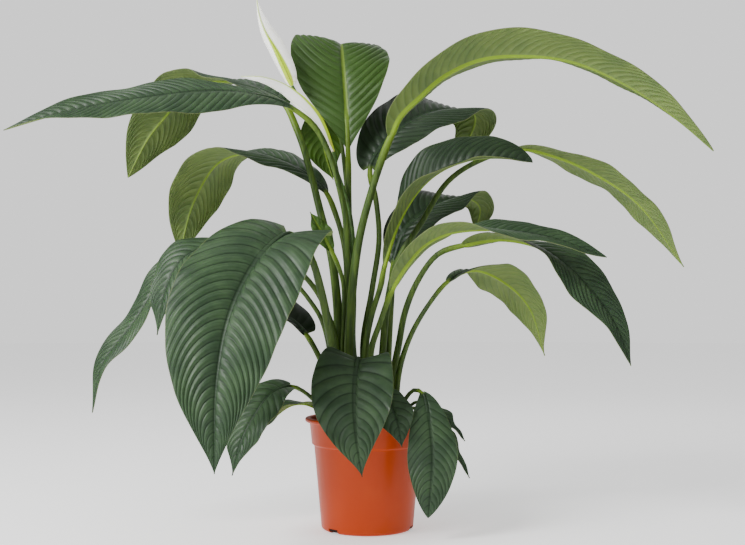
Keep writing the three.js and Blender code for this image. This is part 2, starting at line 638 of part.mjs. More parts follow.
function potInside() {
  return [
    [COLLAR_TOP_RADIUS - WALL + LIP_FLARE, POT_HEIGHT],
    [COLLAR_TOP_RADIUS - WALL, POT_HEIGHT - LIP_ROUND],
    [COLLAR_FOOT_RADIUS - WALL, POT_HEIGHT - COLLAR_HEIGHT],
    [BODY_TOP_RADIUS - WALL, POT_HEIGHT - COLLAR_HEIGHT - COLLAR_STEP],
    [BODY_FOOT_RADIUS - WALL, FLOOR],
  ];
}

function latheOf(profile, sides) {
  const points = profile.map(([r, z]) => new THREE.Vector2(r, z));
  return new THREE.LatheGeometry(points, sides).rotateX(Math.PI / 2);
}

function potGeometry() {
  const profile = [[0, 0], ...potOutside(), ...potInside(), [0, FLOOR]];
  let pot = solidOf(latheOf(profile, POT_SIDES));
  for (let i = 0; i < DRAIN_COUNT; i++) {
    const notch = new THREE.BoxGeometry(DRAIN_DEPTH, DRAIN_WIDTH, 2 * DRAIN_HEIGHT);
    notch.translate(BODY_FOOT_RADIUS + DRAIN_OFFSET, 0, 0);
    notch.rotateZ(radians(DRAIN_TURN) + (2 * Math.PI * i) / DRAIN_COUNT);
    pot = pot.subtract(solidOf(notch));
  }
  return geometryOf(pot);
}

// ---- Soil --------------------------------------------------------------------------------------

// The soil fills the pot, and has a plain hole for every stalk.
function soilGeometry(stalks) {
  const wallAt = (z) => {
    const inside = potInside();
    const [r1, z1] = inside[2];
    const [r0, z0] = inside[1];
    return r1 + ((r0 - r1) * (z - z1)) / (z0 - z1) - SOIL_GAP;
  };
  const [bodyTop, foot] = potInside().slice(3);
  const profile = [
    [0, FLOOR + SOIL_GAP],
    [foot[0] - SOIL_GAP, FLOOR + SOIL_GAP],
    [bodyTop[0] - SOIL_GAP, bodyTop[1]],
    [bodyTop[0] - SOIL_GAP, bodyTop[1] + SOIL_STEP],
    [wallAt(SOIL_TOP) - SOIL_EDGE_GAP, SOIL_TOP],
    ...SOIL_SLOPE.map(([radius, share]) => [radius, SOIL_TOP + SOIL_MOUND * share]),
    [0, SOIL_TOP + SOIL_MOUND],
  ];
  let soil = solidOf(latheOf(profile, POT_SIDES));
  for (const { path, radius } of stalks) {
    const curve = new THREE.CatmullRomCurve3(path.map(vector), false, 'centripetal');
    const stalkFoot = curve.getPoint(0);
    const surface = curve.getPoints(FINE_STEPS).find((point) => point.z >= SOIL_TOP + SOIL_MOUND);
    const heading = surface.clone().sub(stalkFoot).normalize();
    const ends = [
      stalkFoot.addScaledVector(heading, -HOLE_BELOW),
      surface.addScaledVector(heading, HOLE_ABOVE),
    ];
    const hole = rodGeometry(ends.map((end) => end.toArray()), [radius, radius], ROUND_SIDES, 1);
    soil = soil.subtract(solidOf(hole));
  }
  return geometryOf(soil);
}

// ---- Blooms ------------------------------------------------------------------------------------

// The stalk's last stretch gives the direction in which the hood and the spike go on.
function bloomEnd(bloom) {
  const end = vector(bloom.stalk[bloom.stalk.length - 1]);
  const heading = vector(bloom.hood[1]).sub(end).normalize();
  const inward = vector(bloom.inward);
  inward.addScaledVector(heading, -inward.dot(heading)).normalize();
  return { end, heading, inward };
}

function hoodGeometry(bloom) {
  const { end, heading, inward } = bloomEnd(bloom);
  const start = end.clone().addScaledVector(heading, PART_GAP).addScaledVector(inward, -HOOD_OFFSET);
  return leafGeometry({
    ...bloom,
    path: [start.toArray(), ...bloom.hood.slice(1)],
    faces: [bloom.inward, bloom.inward],
    base: 0,
    stalk: [HOOD_RIB, HOOD_RIB],
    lobe: 0,
    wave: HOOD_WAVE,
  });
}

// The spike swells from a thin foot, and its florets stand out as rows of bumps, turned half a
// step from row to row.
function spikeGeometry(bloom) {
  const { end, heading, inward } = bloomEnd(bloom);
  const foot = end.clone().addScaledVector(heading, SPIKE_LIFT);
  foot.addScaledVector(inward, SPIKE_FOOT_OFFSET);
  const midrib = new THREE.CatmullRomCurve3(bloom.hood.map(vector), false, 'centripetal');
  const top = midrib.getPointAt(SPIKE_LENGTH / midrib.getLength());
  top.addScaledVector(inward, SPIKE_TOP_OFFSET);
  const axis = top.clone().sub(foot).normalize();
  const aside = new THREE.Vector3().crossVectors(axis, inward).normalize();
  const across = new THREE.Vector3().crossVectors(aside, axis);
  const positions = [];
  const triangles = [];
  const rows = FLORET_ROWS * 2;
  for (let row = 0; row <= rows; row++) {
    const u = row / rows;
    const centre = foot.clone().lerp(top, u);
    const swell = THREE.MathUtils.smoothstep(u, 0.08, 0.5) * Math.sqrt(1 - (u * 0.9) ** 4);
    const body = SPIKE_FOOT_RADIUS + (SPIKE_RADIUS - SPIKE_FOOT_RADIUS) * swell;
    for (let k = 0; k < FLORET_SIDES; k++) {
      const turn = (2 * Math.PI * (k + (row % 2) / 2)) / FLORET_SIDES;
      const bump = FLORET_HEIGHT * (k % 2) * swell;
      const point = centre.clone().addScaledVector(across, (body + bump) * Math.cos(turn));
      point.addScaledVector(aside, (body + bump) * Math.sin(turn));
      positions.push(point.x, point.y, point.z);
    }
  }
  for (let row = 0; row < rows; row++) {
    for (let k = 0; k < FLORET_SIDES; k++) {
      const [a, b] = [row * FLORET_SIDES + k, row * FLORET_SIDES + ((k + 1) % FLORET_SIDES)];
      triangles.push([a, b, b + FLORET_SIDES], [a, b + FLORET_SIDES, a + FLORET_SIDES]);
    }
  }
  const last = rows * FLORET_SIDES;
  for (let k = 1; k < FLORET_SIDES - 1; k++) {
    triangles.push([0, k + 1, k], [last, last + k, last + k + 1]);
  }
  return closedGeometry(positions, triangles);
}

// ---- The plant in its pot ----------------------------------------------------------------------

const group = new THREE.Group();

function add(name, geometry, look) {
  const mesh = new THREE.Mesh(geometry, new THREE.MeshStandardMaterial(look));
  mesh.name = name;
  group.add(mesh);
}

add('pot', potGeometry(), { color: POT_COLOUR, roughness: 0.35, metalness: 0 });
const stalks = [
  ...Object.values(LEAVES).map(({ path, stalk }) => ({ path, radius: stalk[0] + HOLE_ROOM })),
  ...Object.values(BLOOMS).map(({ stalk }) => ({ path: stalk, radius: BLOOM_STALK[0] + HOLE_ROOM })),
];
add('soil', soilGeometry(stalks), { color: SOIL_COLOUR, roughness: 0.95, metalness: 0 });
for (const [name, leaf] of Object.entries(LEAVES)) {
  const green = { color: LEAF_COLOUR, roughness: 0.4, metalness: 0, side: THREE.DoubleSide };
  add(name, leafGeometry(leaf), green);
}
for (const [name, bloom] of Object.entries(BLOOMS)) {
  const green = { color: STALK_COLOUR, roughness: 0.45, metalness: 0 };
  const rod = rodGeometry(bloom.stalk, BLOOM_STALK, ROUND_SIDES, BLOOM_STALK_STATIONS);
  add(`bloom_${name}_stalk`, rod, green);
  const white = { color: HOOD_COLOUR, roughness: 0.5, metalness: 0, side: THREE.DoubleSide };
  add(`bloom_${name}_hood`, hoodGeometry(bloom), white);
  add(`bloom_${name}_spike`, spikeGeometry(bloom), { color: SPIKE_COLOUR, roughness: 0.7, metalness: 0 });
}

export default group;
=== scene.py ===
"""Potted peace lily: ribbed leaves, hooded blooms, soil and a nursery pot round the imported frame.

The tables and the sizes below them hold millimetres where they say nothing else. The meshes are made
in metres in the frame's own axes: +Z up, with the origin in the middle of the pot's underside."""
import math

import bmesh
import bpy
import numpy as np
from bpy.props import FloatProperty, FloatVectorProperty, IntProperty, PointerProperty
from mathutils import Matrix, Vector


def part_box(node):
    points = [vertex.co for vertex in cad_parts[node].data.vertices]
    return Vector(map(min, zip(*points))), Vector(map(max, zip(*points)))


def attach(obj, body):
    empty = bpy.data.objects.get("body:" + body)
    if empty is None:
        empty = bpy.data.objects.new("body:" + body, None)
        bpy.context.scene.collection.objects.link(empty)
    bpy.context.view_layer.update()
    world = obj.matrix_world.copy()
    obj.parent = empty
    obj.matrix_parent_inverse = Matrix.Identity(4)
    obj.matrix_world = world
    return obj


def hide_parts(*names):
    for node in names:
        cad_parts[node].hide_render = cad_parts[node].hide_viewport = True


bl_info = {
    "name": "Potted Peace Lily",
    "version": (1, 0, 0),
    "blender": (4, 5, 0),
    "location": "View3D > Sidebar > Peace Lily",
    "description": "Makes a peace lily in its nursery pot round the packed frame",
    "category": "Object",
}

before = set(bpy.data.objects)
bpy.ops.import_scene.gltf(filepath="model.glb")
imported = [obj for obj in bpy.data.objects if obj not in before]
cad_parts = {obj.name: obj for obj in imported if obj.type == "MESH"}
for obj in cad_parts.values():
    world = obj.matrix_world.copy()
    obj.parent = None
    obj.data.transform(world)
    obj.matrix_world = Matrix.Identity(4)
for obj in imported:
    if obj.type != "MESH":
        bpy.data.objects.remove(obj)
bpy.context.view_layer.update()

MM = 0.001

# ---- Routes and shapes of the plant --------------------------------------------------------------

# Every leaf is one piece: a stalk from the soil and the blade that it carries.
#   path    points on the stalk and the midrib, from the foot in the soil to the tip
#   base    index of the path point where the blade begins
#   halves  width of the left and the right half at the blade's widest
#   faces   directions that the blade's upper face looks in, from its base to its tip
#   fold    degrees that the left and right half rise from the midrib
#   curl    degrees that each half rises more at the tip than at the base
#   droop   degrees that each half turns down again between midrib and margin
#   stalk   radius at the foot and at the blade's base
#   swell   below 1 moves the widest place towards the base
#   ends    how pointed the base and the tip are; a small number is blunt
#   lobe    how far the base's corners reach back past the stalk's end
#   wave    height of the margin's waves, and how many there are
#   tone    0 for a grown leaf; towards 1 young yellow-green, partly painted light through backlit leaves; towards -1 painted shade, near-black green for leaves in shadow

# What a leaf has where its entry says nothing else.
USUAL_LEAF = {
    "curl": (0, 0), "droop": (20, 20), "swell": 0.8, "ends": (0.7, 1.3), "lobe": 8, "wave": (5, 2.5),
}
LEAVES = {
    "leaf_left_long": {
        "path": [
            (-36, 4, 165), (-39, 14, 342), (-38, 13, 439), (-40, 5, 527), (-42, 2, 595),
            (-53, -8, 652), (-74, -26, 722), (-102, -42, 772), (-143, -60, 803), (-180, -70, 820),
            (-239, -84, 829), (-311, -102, 827), (-400, -122, 813), (-492, -138, 794),
            (-576, -150, 771), (-657, -160, 744),
        ],
        "faces": [(0, -0.5, 0.86), (0, -0.62, 0.78), (0, -0.6, 0.8), (0, -0.45, 0.9)],
        "base": 8, "halves": (66, 45), "fold": (-4, 4), "stalk": (9, 5), "droop": (24, 16),
        "curl": (38, 44), "swell": 0.85, "ends": (1, 0.9),
    },
    "leaf_left_upper_back": {
        "path": [
            (-32, 30, 165), (-54, 28, 341), (-60, 32, 439), (-72, 40, 529), (-95, 52, 619),
            (-118, 68, 709), (-143, 86, 785), (-171, 104, 842), (-219, 124, 877), (-277, 144, 896),
            (-332, 164, 900), (-385, 176, 879), (-428, 182, 831), (-466, 184, 783), (-508, 184, 700),
        ],
        "faces": [
            (0, -0.4, 0.9), (-0.3, 0, 0.95), (-0.6, 0.3, 0.75), (-0.6, 0.8, 0.2), (-0.6, 0.8, 0.1),
        ],
        "base": 7, "halves": (95, 98), "fold": (8, 14), "stalk": (11, 6), "droop": (15, 15),
        "ends": (0.78, 0.88),
    },
    "leaf_left_middle_back": {
        "path": [
            (-14, 46, 165), (-39, 50, 340), (-39, 54, 460), (-47, 66, 550), (-64, 80, 612),
            (-85, 94, 660), (-120, 108, 696), (-164, 120, 723), (-215, 132, 741), (-266, 144, 745),
            (-313, 154, 727), (-347, 160, 682), (-374, 162, 619), (-393, 162, 533),
        ],
        "faces": [
            (0, -0.3, 0.95), (0, -0.28, 0.96), (-0.5, 0.1, 0.86), (-0.52, 0.7, 0.42),
            (-0.45, 0.88, 0.15),
        ],
        "base": 5, "halves": (94, 93), "fold": (10, 14), "stalk": (8, 5), "droop": (20, 24),
        "swell": 0.95, "ends": (0.9, 1),
    },
    "leaf_front_left_broad": {
        "path": [
            (-50, -34, 165), (-65, -48, 344), (-76, -58, 404), (-87, -70, 457), (-101, -90, 509),
            (-118, -112, 543), (-140, -138, 557), (-175, -192, 532), (-211, -242, 471),
            (-236, -286, 394), (-248, -320, 290), (-246, -345, 153),
        ],
        "faces": [(-0.2, -0.5, 0.85), (-0.1, -0.8, 0.55), (-0.1, -0.95, 0.25), (-0.1, -0.98, 0.1)],
        "base": 6, "halves": (107, 112), "fold": (18, 32), "stalk": (11, 6), "droop": (30, 48),
        "swell": 0.7, "ends": (0.26, 1.1), "lobe": 54,
    },
    "leaf_left_outer_drooping": {
        "path": [
            (-54, 18, 165), (-57, 2, 342), (-72, -4, 400), (-99, -10, 458), (-145, -14, 506),
            (-207, -18, 535), (-274, -24, 544), (-336, -30, 534), (-388, -40, 484), (-441, -52, 397),
            (-497, -62, 318), (-515, -68, 227),
        ],
        "faces": [(0, 0, 1), (-0.6, -0.5, 0.6), (-0.7, -0.6, 0.3), (-0.8, -0.6, 0)],
        "base": 5, "halves": (62, 42), "fold": (20, 20), "stalk": (7, 5), "ends": (0.6, 0.9),
    },
    "leaf_left_inner_drooping": {
        "path": [
            (-62, -6, 165), (-73, -28, 347), (-88, -40, 404), (-107, -48, 435), (-127, -56, 461),
            (-168, -70, 504), (-222, -86, 533), (-287, -106, 538), (-336, -128, 514),
            (-362, -145, 464), (-377, -158, 374),
        ],
        "faces": [(0, -0.2, 0.95), (-0.4, -0.5, 0.75), (-0.6, -0.7, 0.3), (-0.6, -0.8, 0)],
        "base": 6, "halves": (60, 60), "fold": (18, 18), "stalk": (6, 4), "droop": (30, 30),
    },
    "leaf_top_centre": {
        "path": [
            (-14, 18, 165), (-34, 34, 341), (-35, 40, 499), (-37, 48, 639), (-39, 56, 740),
            (-44, 72, 844), (-50, 95, 918), (-56, 150, 977), (-60, 215, 976), (-64, 262, 936),
        ],
        "faces": [(0, -0.9, 0.3), (-0.05, -0.8, 0.55), (0.15, -0.25, 0.95), (0, 0.5, 0.8)],
        "base": 4, "halves": (108, 98), "fold": (14, 14), "stalk": (8.6, 5), "swell": 1.12,
        "ends": (0.95, 1.1), "lobe": 2, "tone": 0.6,
    },
    "leaf_right_high_arch": {
        "path": [
            (-22, -14, 165), (-35, -18, 339), (-33, -20, 395), (-27, -24, 477), (-14, -32, 563),
            (9, -42, 649), (32, -54, 718), (47, -60, 753), (62, -64, 785), (98, -72, 820),
            (143, -80, 858), (212, -90, 888), (295, -98, 893), (387, -104, 879), (499, -108, 826),
            (578, -110, 769), (641, -112, 713),
        ],
        "faces": [(-0.5, 0.55, 0.6), (-0.2, 0.45, 0.85), (0.1, 0.35, 0.9), (0.4, 0.3, 0.85)],
        "base": 7, "halves": (75, 64), "fold": (40, 20), "stalk": (11, 6.5), "droop": (12, 22),
        "ends": (0.6, 0.75),
    },
    "leaf_right_upper_back": {
        "path": [
            (14, 54, 165), (-9, 55, 340), (9, 58, 460), (23, 60, 560), (17, 62, 640), (5, 66, 705),
            (50, 92, 778), (117, 132, 826), (187, 178, 845), (230, 212, 837), (223, 228, 800),
            (187, 236, 762),
        ],
        "faces": [
            (-0.5, -0.7, 0.5), (-0.2, -0.8, 0.55), (0, -0.6, 0.8), (0.3, 0.2, 0.9), (0.4, 0.9, 0.2),
        ],
        "base": 5, "halves": (95, 70), "fold": (12, 12), "stalk": (7, 5), "droop": (25, 25),
        "swell": 0.95, "ends": (0.5, 0.8), "tone": -0.6,
    },
    "leaf_right_inner_arch": {
        "path": [
            (-2, -20, 165), (-4, -35, 339), (7, -42, 404), (26, -50, 467), (32, -55, 499),
            (58, -66, 580), (94, -76, 641), (136, -84, 678), (192, -92, 699), (247, -98, 702),
            (308, -100, 694),
        ],
        "faces": [(-0.6, 0.6, 0.5), (-0.5, -0.2, 0.8), (0, -0.6, 0.8), (0, -0.7, 0.7)],
        "base": 4, "halves": (69, 46), "fold": (30, 40), "stalk": (8, 5), "droop": (15, 14),
        "swell": 1.05, "ends": (0.95, 0.6), "tone": -0.6,
    },
    "leaf_right_far_tip": {
        "path": [
            (22, 18, 165), (30, 15, 342), (40, 8, 439), (58, 2, 513), (104, -5, 588), (157, -8, 670),
            (219, -5, 711), (294, 0, 734), (363, 5, 721), (438, 10, 690), (531, 15, 627),
            (621, 20, 504),
        ],
        "faces": [(0, 0.1, 1), (0.1, 0.25, 0.95), (0.4, 0.45, 0.8)],
        "base": 7, "halves": (56, 44), "fold": (16, 16), "stalk": (8, 5), "ends": (0.6, 1.1),
    },
    "leaf_right_middle_back": {
        "path": [
            (36, 46, 165), (41, 50, 340), (47, 50, 440), (53, 50, 515), (73, 60, 580),
            (114, 88, 620), (166, 124, 647), (209, 152, 654), (236, 172, 635), (229, 184, 589),
        ],
        "faces": [
            (-0.5, -0.7, 0.5), (-0.2, -0.7, 0.6), (0, -0.5, 0.85), (0.4, 0.4, 0.8), (0.4, 0.9, 0.1),
        ],
        "base": 3, "halves": (62, 60), "fold": (18, 18), "stalk": (9, 6), "droop": (30, 30),
        "swell": 1, "ends": (0.6, 0.75), "tone": -0.6,
    },
    "leaf_right_long_low": {
        "path": [
            (10, -34, 165), (7, -52, 340), (24, -60, 395), (47, -72, 457), (73, -84, 501),
            (108, -96, 540), (153, -108, 561), (244, -122, 566), (334, -132, 552), (436, -140, 515),
        ],
        "faces": [(-0.5, 0.6, 0.6), (-0.2, 0.15, 0.95), (0, -0.5, 0.85), (0.1, -0.65, 0.75)],
        "base": 3, "halves": (41, 52), "fold": (20, 20), "stalk": (8, 5), "swell": 0.95,
        "ends": (0.7, 0.8),
    },
    "leaf_right_drooping": {
        "path": [
            (44, 2, 165), (50, 0, 292), (61, -4, 354), (73, -8, 416), (98, -14, 477),
            (136, -22, 527), (187, -32, 544), (262, -48, 553), (339, -68, 530), (410, -85, 466),
            (459, -95, 395), (488, -98, 316),
        ],
        "faces": [(0, 0.4, 0.9), (0.1, -0.2, 0.95), (0.4, -0.75, 0.5), (0.7, -0.7, 0.1)],
        "base": 6, "halves": (64, 67), "fold": (15, 15), "stalk": (8, 5), "ends": (0.7, 1),
    },
    "leaf_right_lower_arch": {
        "path": [
            (54, -22, 165), (59, -26, 290), (80, -30, 364), (118, -32, 431), (158, -30, 477),
            (205, -22, 496), (267, 0, 472), (316, 14, 424), (347, 20, 330),
        ],
        "faces": [(-0.2, -0.4, 0.9), (0.1, 0.5, 0.85), (0.5, 0.7, 0.5), (0.7, 0.7, 0.2)],
        "base": 4, "halves": (55, 47), "fold": (16, 16), "stalk": (7, 4), "droop": (25, 25),
    },
    "leaf_front_centre": {
        "path": [
            (-12, -62, 165), (-13, -78, 252), (-13, -98, 305), (-16, -124, 330), (-21, -156, 301),
            (-23, -178, 254), (-19, -190, 196), (-8, -196, 126),
        ],
        "faces": [(0, -0.6, 0.8), (0, -0.85, 0.5), (0, -0.98, 0.15), (0, -1, 0)],
        "base": 3, "halves": (70, 77), "fold": (14, 14), "stalk": (7, 5), "swell": 0.6,
        "ends": (0.34, 1.25), "lobe": 34,
    },
    "leaf_front_left_low": {
        "path": [
            (-70, -36, 165), (-80, -48, 227), (-98, -60, 248), (-120, -72, 268), (-143, -86, 278),
            (-176, -112, 267), (-205, -134, 227), (-225, -148, 186), (-241, -158, 123),
        ],
        "faces": [(-0.1, -0.6, 0.8), (-0.4, -0.8, 0.45), (-0.5, -0.85, 0.1)],
        "base": 4, "halves": (46, 46), "fold": (16, 16), "stalk": (5, 3.5),
    },
    "leaf_left_low_slim": {
        "path": [
            (-80, 6, 165), (-76, 2, 211), (-99, -8, 231), (-123, -20, 240), (-147, -30, 237),
            (-173, -44, 219), (-196, -56, 197), (-212, -64, 176),
        ],
        "faces": [(0, 0, 1), (-0.3, -0.1, 0.9), (-0.6, -0.4, 0.6)],
        "base": 2, "halves": (24, 24), "fold": (20, 20), "stalk": (4, 3), "droop": (10, 10),
    },
    "leaf_front_right_low": {
        "path": [
            (66, -40, 165), (62, -56, 231), (73, -70, 255), (87, -86, 271), (103, -104, 265),
            (113, -124, 219), (118, -136, 148), (110, -142, 45),
        ],
        "faces": [(0.1, -0.6, 0.8), (0.1, -0.9, 0.3), (0.05, -1, 0)],
        "base": 4, "halves": (46, 46), "fold": (12, 12), "stalk": (5, 3.5), "swell": 1,
        "ends": (0.75, 0.8),
    },
    "leaf_front_right_inner": {
        "path": [
            (30, -66, 165), (20, -82, 237), (20, -98, 259), (29, -112, 269), (42, -134, 249),
            (54, -146, 218), (63, -150, 173),
        ],
        "faces": [(0, -0.6, 0.8), (0.2, -0.9, 0.3), (0.2, -0.95, 0.1)],
        "base": 3, "halves": (35, 35), "fold": (10, 10), "stalk": (5, 3.5), "droop": (15, 15),
    },
    "leaf_right_low_outer": {
        "path": [
            (76, -6, 165), (78, -14, 231), (101, -22, 245), (127, -32, 235), (157, -44, 206),
            (185, -50, 172),
        ],
        "faces": [(0, -0.3, 0.95), (0.5, -0.4, 0.7), (0.7, -0.5, 0.3)],
        "base": 2, "halves": (19, 19), "fold": (15, 15), "stalk": (4, 3),
    },
    "leaf_right_low_under": {
        "path": [
            (74, -24, 165), (73, -46, 227), (96, -60, 235), (121, -74, 214), (150, -88, 177),
            (171, -96, 143), (189, -100, 110),
        ],
        "faces": [(0, -0.4, 0.9), (0.5, -0.6, 0.5), (0.7, -0.6, 0.2)],
        "base": 2, "halves": (20, 20), "fold": (15, 15), "stalk": (4, 3),
    },
    "leaf_young_rolled": {
        "path": [
            (-40, -10, 165), (-47, -4, 342), (-45, -6, 420), (-47, -10, 474), (-59, -12, 512),
            (-72, -16, 539), (-82, -20, 558), (-95, -26, 581), (-110, -30, 608),
        ],
        "faces": [(0.3, -0.9, 0.2), (0.3, -0.95, 0)],
        "base": 5, "halves": (19, 19), "fold": (30, 30), "stalk": (6, 4), "droop": (30, 30),
        "tone": 0.7,
    },
    "leaf_left_low_back": {
        "path": [
            (-73, 22, 165), (-67, 22, 259), (-95, 34, 327), (-122, 46, 372), (-155, 60, 404),
            (-192, 76, 416), (-228, 92, 390), (-243, 104, 339), (-247, 110, 267),
        ],
        "faces": [(0.3, -0.5, 0.85), (-0.2, -0.5, 0.85), (-0.8, -0.5, 0.1)],
        "base": 3, "halves": (20, 52), "fold": (18, 18), "stalk": (8, 5), "ends": (0.3, 1),
        "lobe": 4, "tone": -0.9,
    },
    "leaf_centre_hanging": {
        "path": [
            (0, 66, 165), (-29, 66, 340), (-33, 72, 500), (-42, 80, 662), (-60, 94, 791),
            (-80, 118, 840), (-95, 142, 805), (-89, 150, 750), (-72, 152, 691),
        ],
        "faces": [(-0.3, 0.1, 0.95), (-0.35, 0.8, 0.3), (-0.3, 0.95, 0)],
        "base": 5, "halves": (48, 48), "fold": (15, 15), "stalk": (7, 4), "tone": 0.9,
    },
}

# Each bloom has a stalk, a hood and a spike, and its hood is shaped as a leaf without a stalk.
#   inward  direction from the hood's midrib to the spike
BLOOMS = {
    "upright": {
        "stalk": [
            (6, 20, 165), (-25, 8, 342), (-25, 16, 439), (-26, 27, 538), (-35, 35, 614),
            (-54, 36, 677), (-76, 36, 727), (-98, 38, 771), (-122, 34, 812), (-149, 28, 863),
        ],
        "hood": [
            (-151, 27, 867), (-165, 24, 898), (-185, 20, 939), (-204, 17, 974), (-214, 15, 1004),
            (-218, 13, 1031),
        ],
        "inward": (0.3, 0.92, -0.2), "halves": (27, 25), "fold": (20, 26), "droop": (-45, -50),
        "swell": 0.7, "ends": (0.5, 0.95),
    },
    "leaning": {
        "stalk": [
            (-2, 0, 165), (-26, -3, 342), (-26, 0, 439), (-28, 11, 513), (-37, 17, 576),
            (-48, 17, 639), (-58, 13, 686), (-67, 8, 729),
        ],
        "hood": [
            (-68, 7, 734), (-79, -8, 771), (-95, -22, 800), (-123, -38, 828), (-159, -54, 850),
            (-198, -78, 858), (-236, -96, 855),
        ],
        "inward": (-0.3, 0.2, -0.9), "halves": (25, 23), "fold": (54, 54), "droop": (-18, -18),
        "swell": 0.85, "ends": (0.55, 0.9),
    },
}

# ---- Sizes of the pieces -------------------------------------------------------------------------

# The pot's insets are measured inwards from the outside of its lip.
POT_CORNER = 1.6  # radius of the pot's moulded corners
POT_FLOOR = 3
COLLAR_TOP_INSET = 8.5
COLLAR_FOOT_INSET = 13
BODY_TOP_INSET = 17.5
BODY_FOOT_INSET = 31.5
FOOT_INSET = 34
COLLAR_HEIGHT = 50  # from the lip's top down to the collar's lower edge
COLLAR_STEP = 3  # height of the slope between body and collar
LIP_HEIGHT = 8
LIP_ROUND = 2
LIP_FLARE = 1  # how much the lip's inner edge opens
FOOT_CHAMFER = 5
FOOT_ROUND = 1.5
DRAIN_COUNT = 3
DRAIN_WIDTH = 24
DRAIN_HEIGHT = 9
DRAIN_DEPTH = 44  # from outside the wall inwards, across the floor's edge
DRAIN_OFFSET = -7  # from the wall's foot to the middle of that depth, below 0 for inwards
DRAIN_TURN = -16.5  # degrees from +X to the first drain notch

SOIL_TOP = 190  # level at the pot's wall
SOIL_MOUND = 5
SOIL_GAP = 0.4  # between the soil and the pot
SOIL_EDGE_GAP = 1  # added at the surface, where the soil has shrunk from the wall
SOIL_STEP = 6  # height in which the soil follows the wall's step
SOIL_EDGE_DROP = 4  # height of the soil's rounded edge
SOIL_EDGE_ROUND = 0.3
SOIL_RINGS = 34
SOIL_CORE = 2  # radius of the innermost ring
SOIL_SIDES = 120
SOIL_LUMP = 1.5  # height of the surface's lumps
CRUMB_MARGIN = 5  # ring along the pot's wall without crumbs

WAVE_SHIFT = 1.7  # by how many radians the right margin's waves lag behind the left margin's
RIPPLE_HEIGHT = 0.016  # of the small ripples at the margin, in widths of a half blade
RIPPLE_COUNT = 7.3
RIPPLE_SHIFT = 0.37  # turns between the ripples of two leaves
RIPPLE_LAG = 2.1  # of one margin's ripples behind the other's, in wave shifts
TIP_RADIUS = 0.9  # the midrib's radius at a leaf's tip
RIB_TAPER = 0.7  # below 1 thins the midrib sooner after the base
RIB_ARC = (-90, -60, -30, 0, 30, 60, 90)  # degrees of the columns round the midrib
MARGIN_COLUMN = 0.25  # distance of the last column but one from the margin, in columns
SHOULDER_HEIGHT = 0.9  # how far the blade rises beside its midrib
SHOULDER_WIDTH = 0.05
GROOVE_DEPTH = 1.3  # how far the midrib sinks on the upper face, in its radius
GROOVE_START = 4  # above 1 ends the stalk's round top sooner after the base
CHANNEL_DEPTH = 0.30  # of the channel along a stalk, in its radius
CHANNEL_WIDTH = 0.35
KNEE_SWELL = 0.14  # extra thickness of the stalk's knee
KNEE_PLACE = 0.93  # of the way from the foot to the blade
KNEE_REACH = 0.05
VEIN_CURVE = 1.6  # above 1 lets the side veins leave the midrib at a steeper angle
LONGEST_SWEEP = 0.24  # of a side vein, in blade lengths
FEWEST_VEINS = 6
STALK_ROW = 14  # spacing of the mesh rows along a stalk
FEWEST_STALK_ROWS = 8
ROUTE_STEPS = 300  # points that measure a blade's route
WALK_STEPS = 400  # points that measure a stretch of a route
LOBE_BEND = 1.5  # above 1 leaves the base's lobe to the margin
RELIEF_START = 0.02  # where the humps between veins begin beside the midrib, in half widths
RELIEF_RISE = 0.12
RELIEF_FALL = 0.1  # the humps' end beside the margin
RELIEF_ENDS = 1.6  # above 1 lets the humps reach further towards the base and the tip
MEAN_HUMP = 0.64  # mean height of the humps between veins, as a share of their crest
FULL_RELIEF_WIDTH = 150  # of a blade whose humps have their full height
LEAST_RELIEF = 0.45
MOST_RELIEF = 1.1
FURROW_WIDTH = 150  # the widest blade without furrows
FURROW_RANGE = 60  # from there to the width with full furrows
TONE_STEP = 0.04  # between the tones of leaves that look alike
TONE_COUNT = 5

HOOD_RIB = 1.4
HOOD_WAVE = (1.5, 1)
HOOD_SEED = 3
HOOD_OFFSET = 1.8  # from a bloom stalk's middle to the hood's midrib
PART_GAP = 0.4  # between a bloom's stalk, hood and spike
BLOOM_STALK = (4, 3.4)  # radius at the foot and under the bloom
BLOOM_STALK_POINTS = 60
BLOOM_STALK_SIDES = 16
SPIKE_LENGTH = 56
SPIKE_RADIUS = 4.4
SPIKE_FOOT_RADIUS = 1.3
SPIKE_LIFT = 1  # from the stalk's end to the spike's foot, along the stalk
SPIKE_FOOT_OFFSET = 1.9
SPIKE_TOP_OFFSET = 13
SPIKE_BARE = 0.3  # share of the spike below its florets, still thin
SPIKE_FULL = 0.6  # share of the spike where it reaches its full thickness
SPIKE_BLUNTNESS = 0.93  # at 1 the top would close
SPIKE_SIDES = 20
SPIKE_ROWS = 44

# The lights stand round the plant, in metres: name, place, width and the setting of its power.
LIGHTS = (
    ("key_light", (-2.5, -2.2, 2.5), 2.0, "key"),
    ("fill_light", (2.4, -1.7, 1.7), 2.4, "fill"),
    ("back_light", (0.6, 2.2, 2.3), 1.8, "back"),
)
LIGHT_TARGET = Vector((0, 0, 0.5))
CAMERA_PLACE = (0.010, -2.136, 0.413)
CAMERA_TILT = 92.13  # degrees from looking straight down
CAMERA_SENSOR = 36
CAMERA_LENS = 53.15
CAMERA_REACH = 60


def linear(hex_value):
    """An sRGB hex colour as the linear RGBA that Blender's sockets take."""
    channels = [int(hex_value[i : i + 2], 16) / 255 for i in (1, 3, 5)]
    return [c / 12.92 if c <= 0.04045 else ((c + 0.055) / 1.055) ** 2.4 for c in channels] + [1.0]


# ---- Settings that a user would change -----------------------------------------------------------


def length(name, description, default):
    """A setting in metres; the functions after this one make the other kinds of setting."""
    settings = {"default": default, "min": 0, "unit": "LENGTH", "precision": 4}
    return FloatProperty(name=name, description=description, **settings)


def colour(name, description, default):
    settings = {"default": linear(default), "size": 4, "min": 0, "max": 1, "subtype": "COLOR"}
    return FloatVectorProperty(name=name, description=description, **settings)


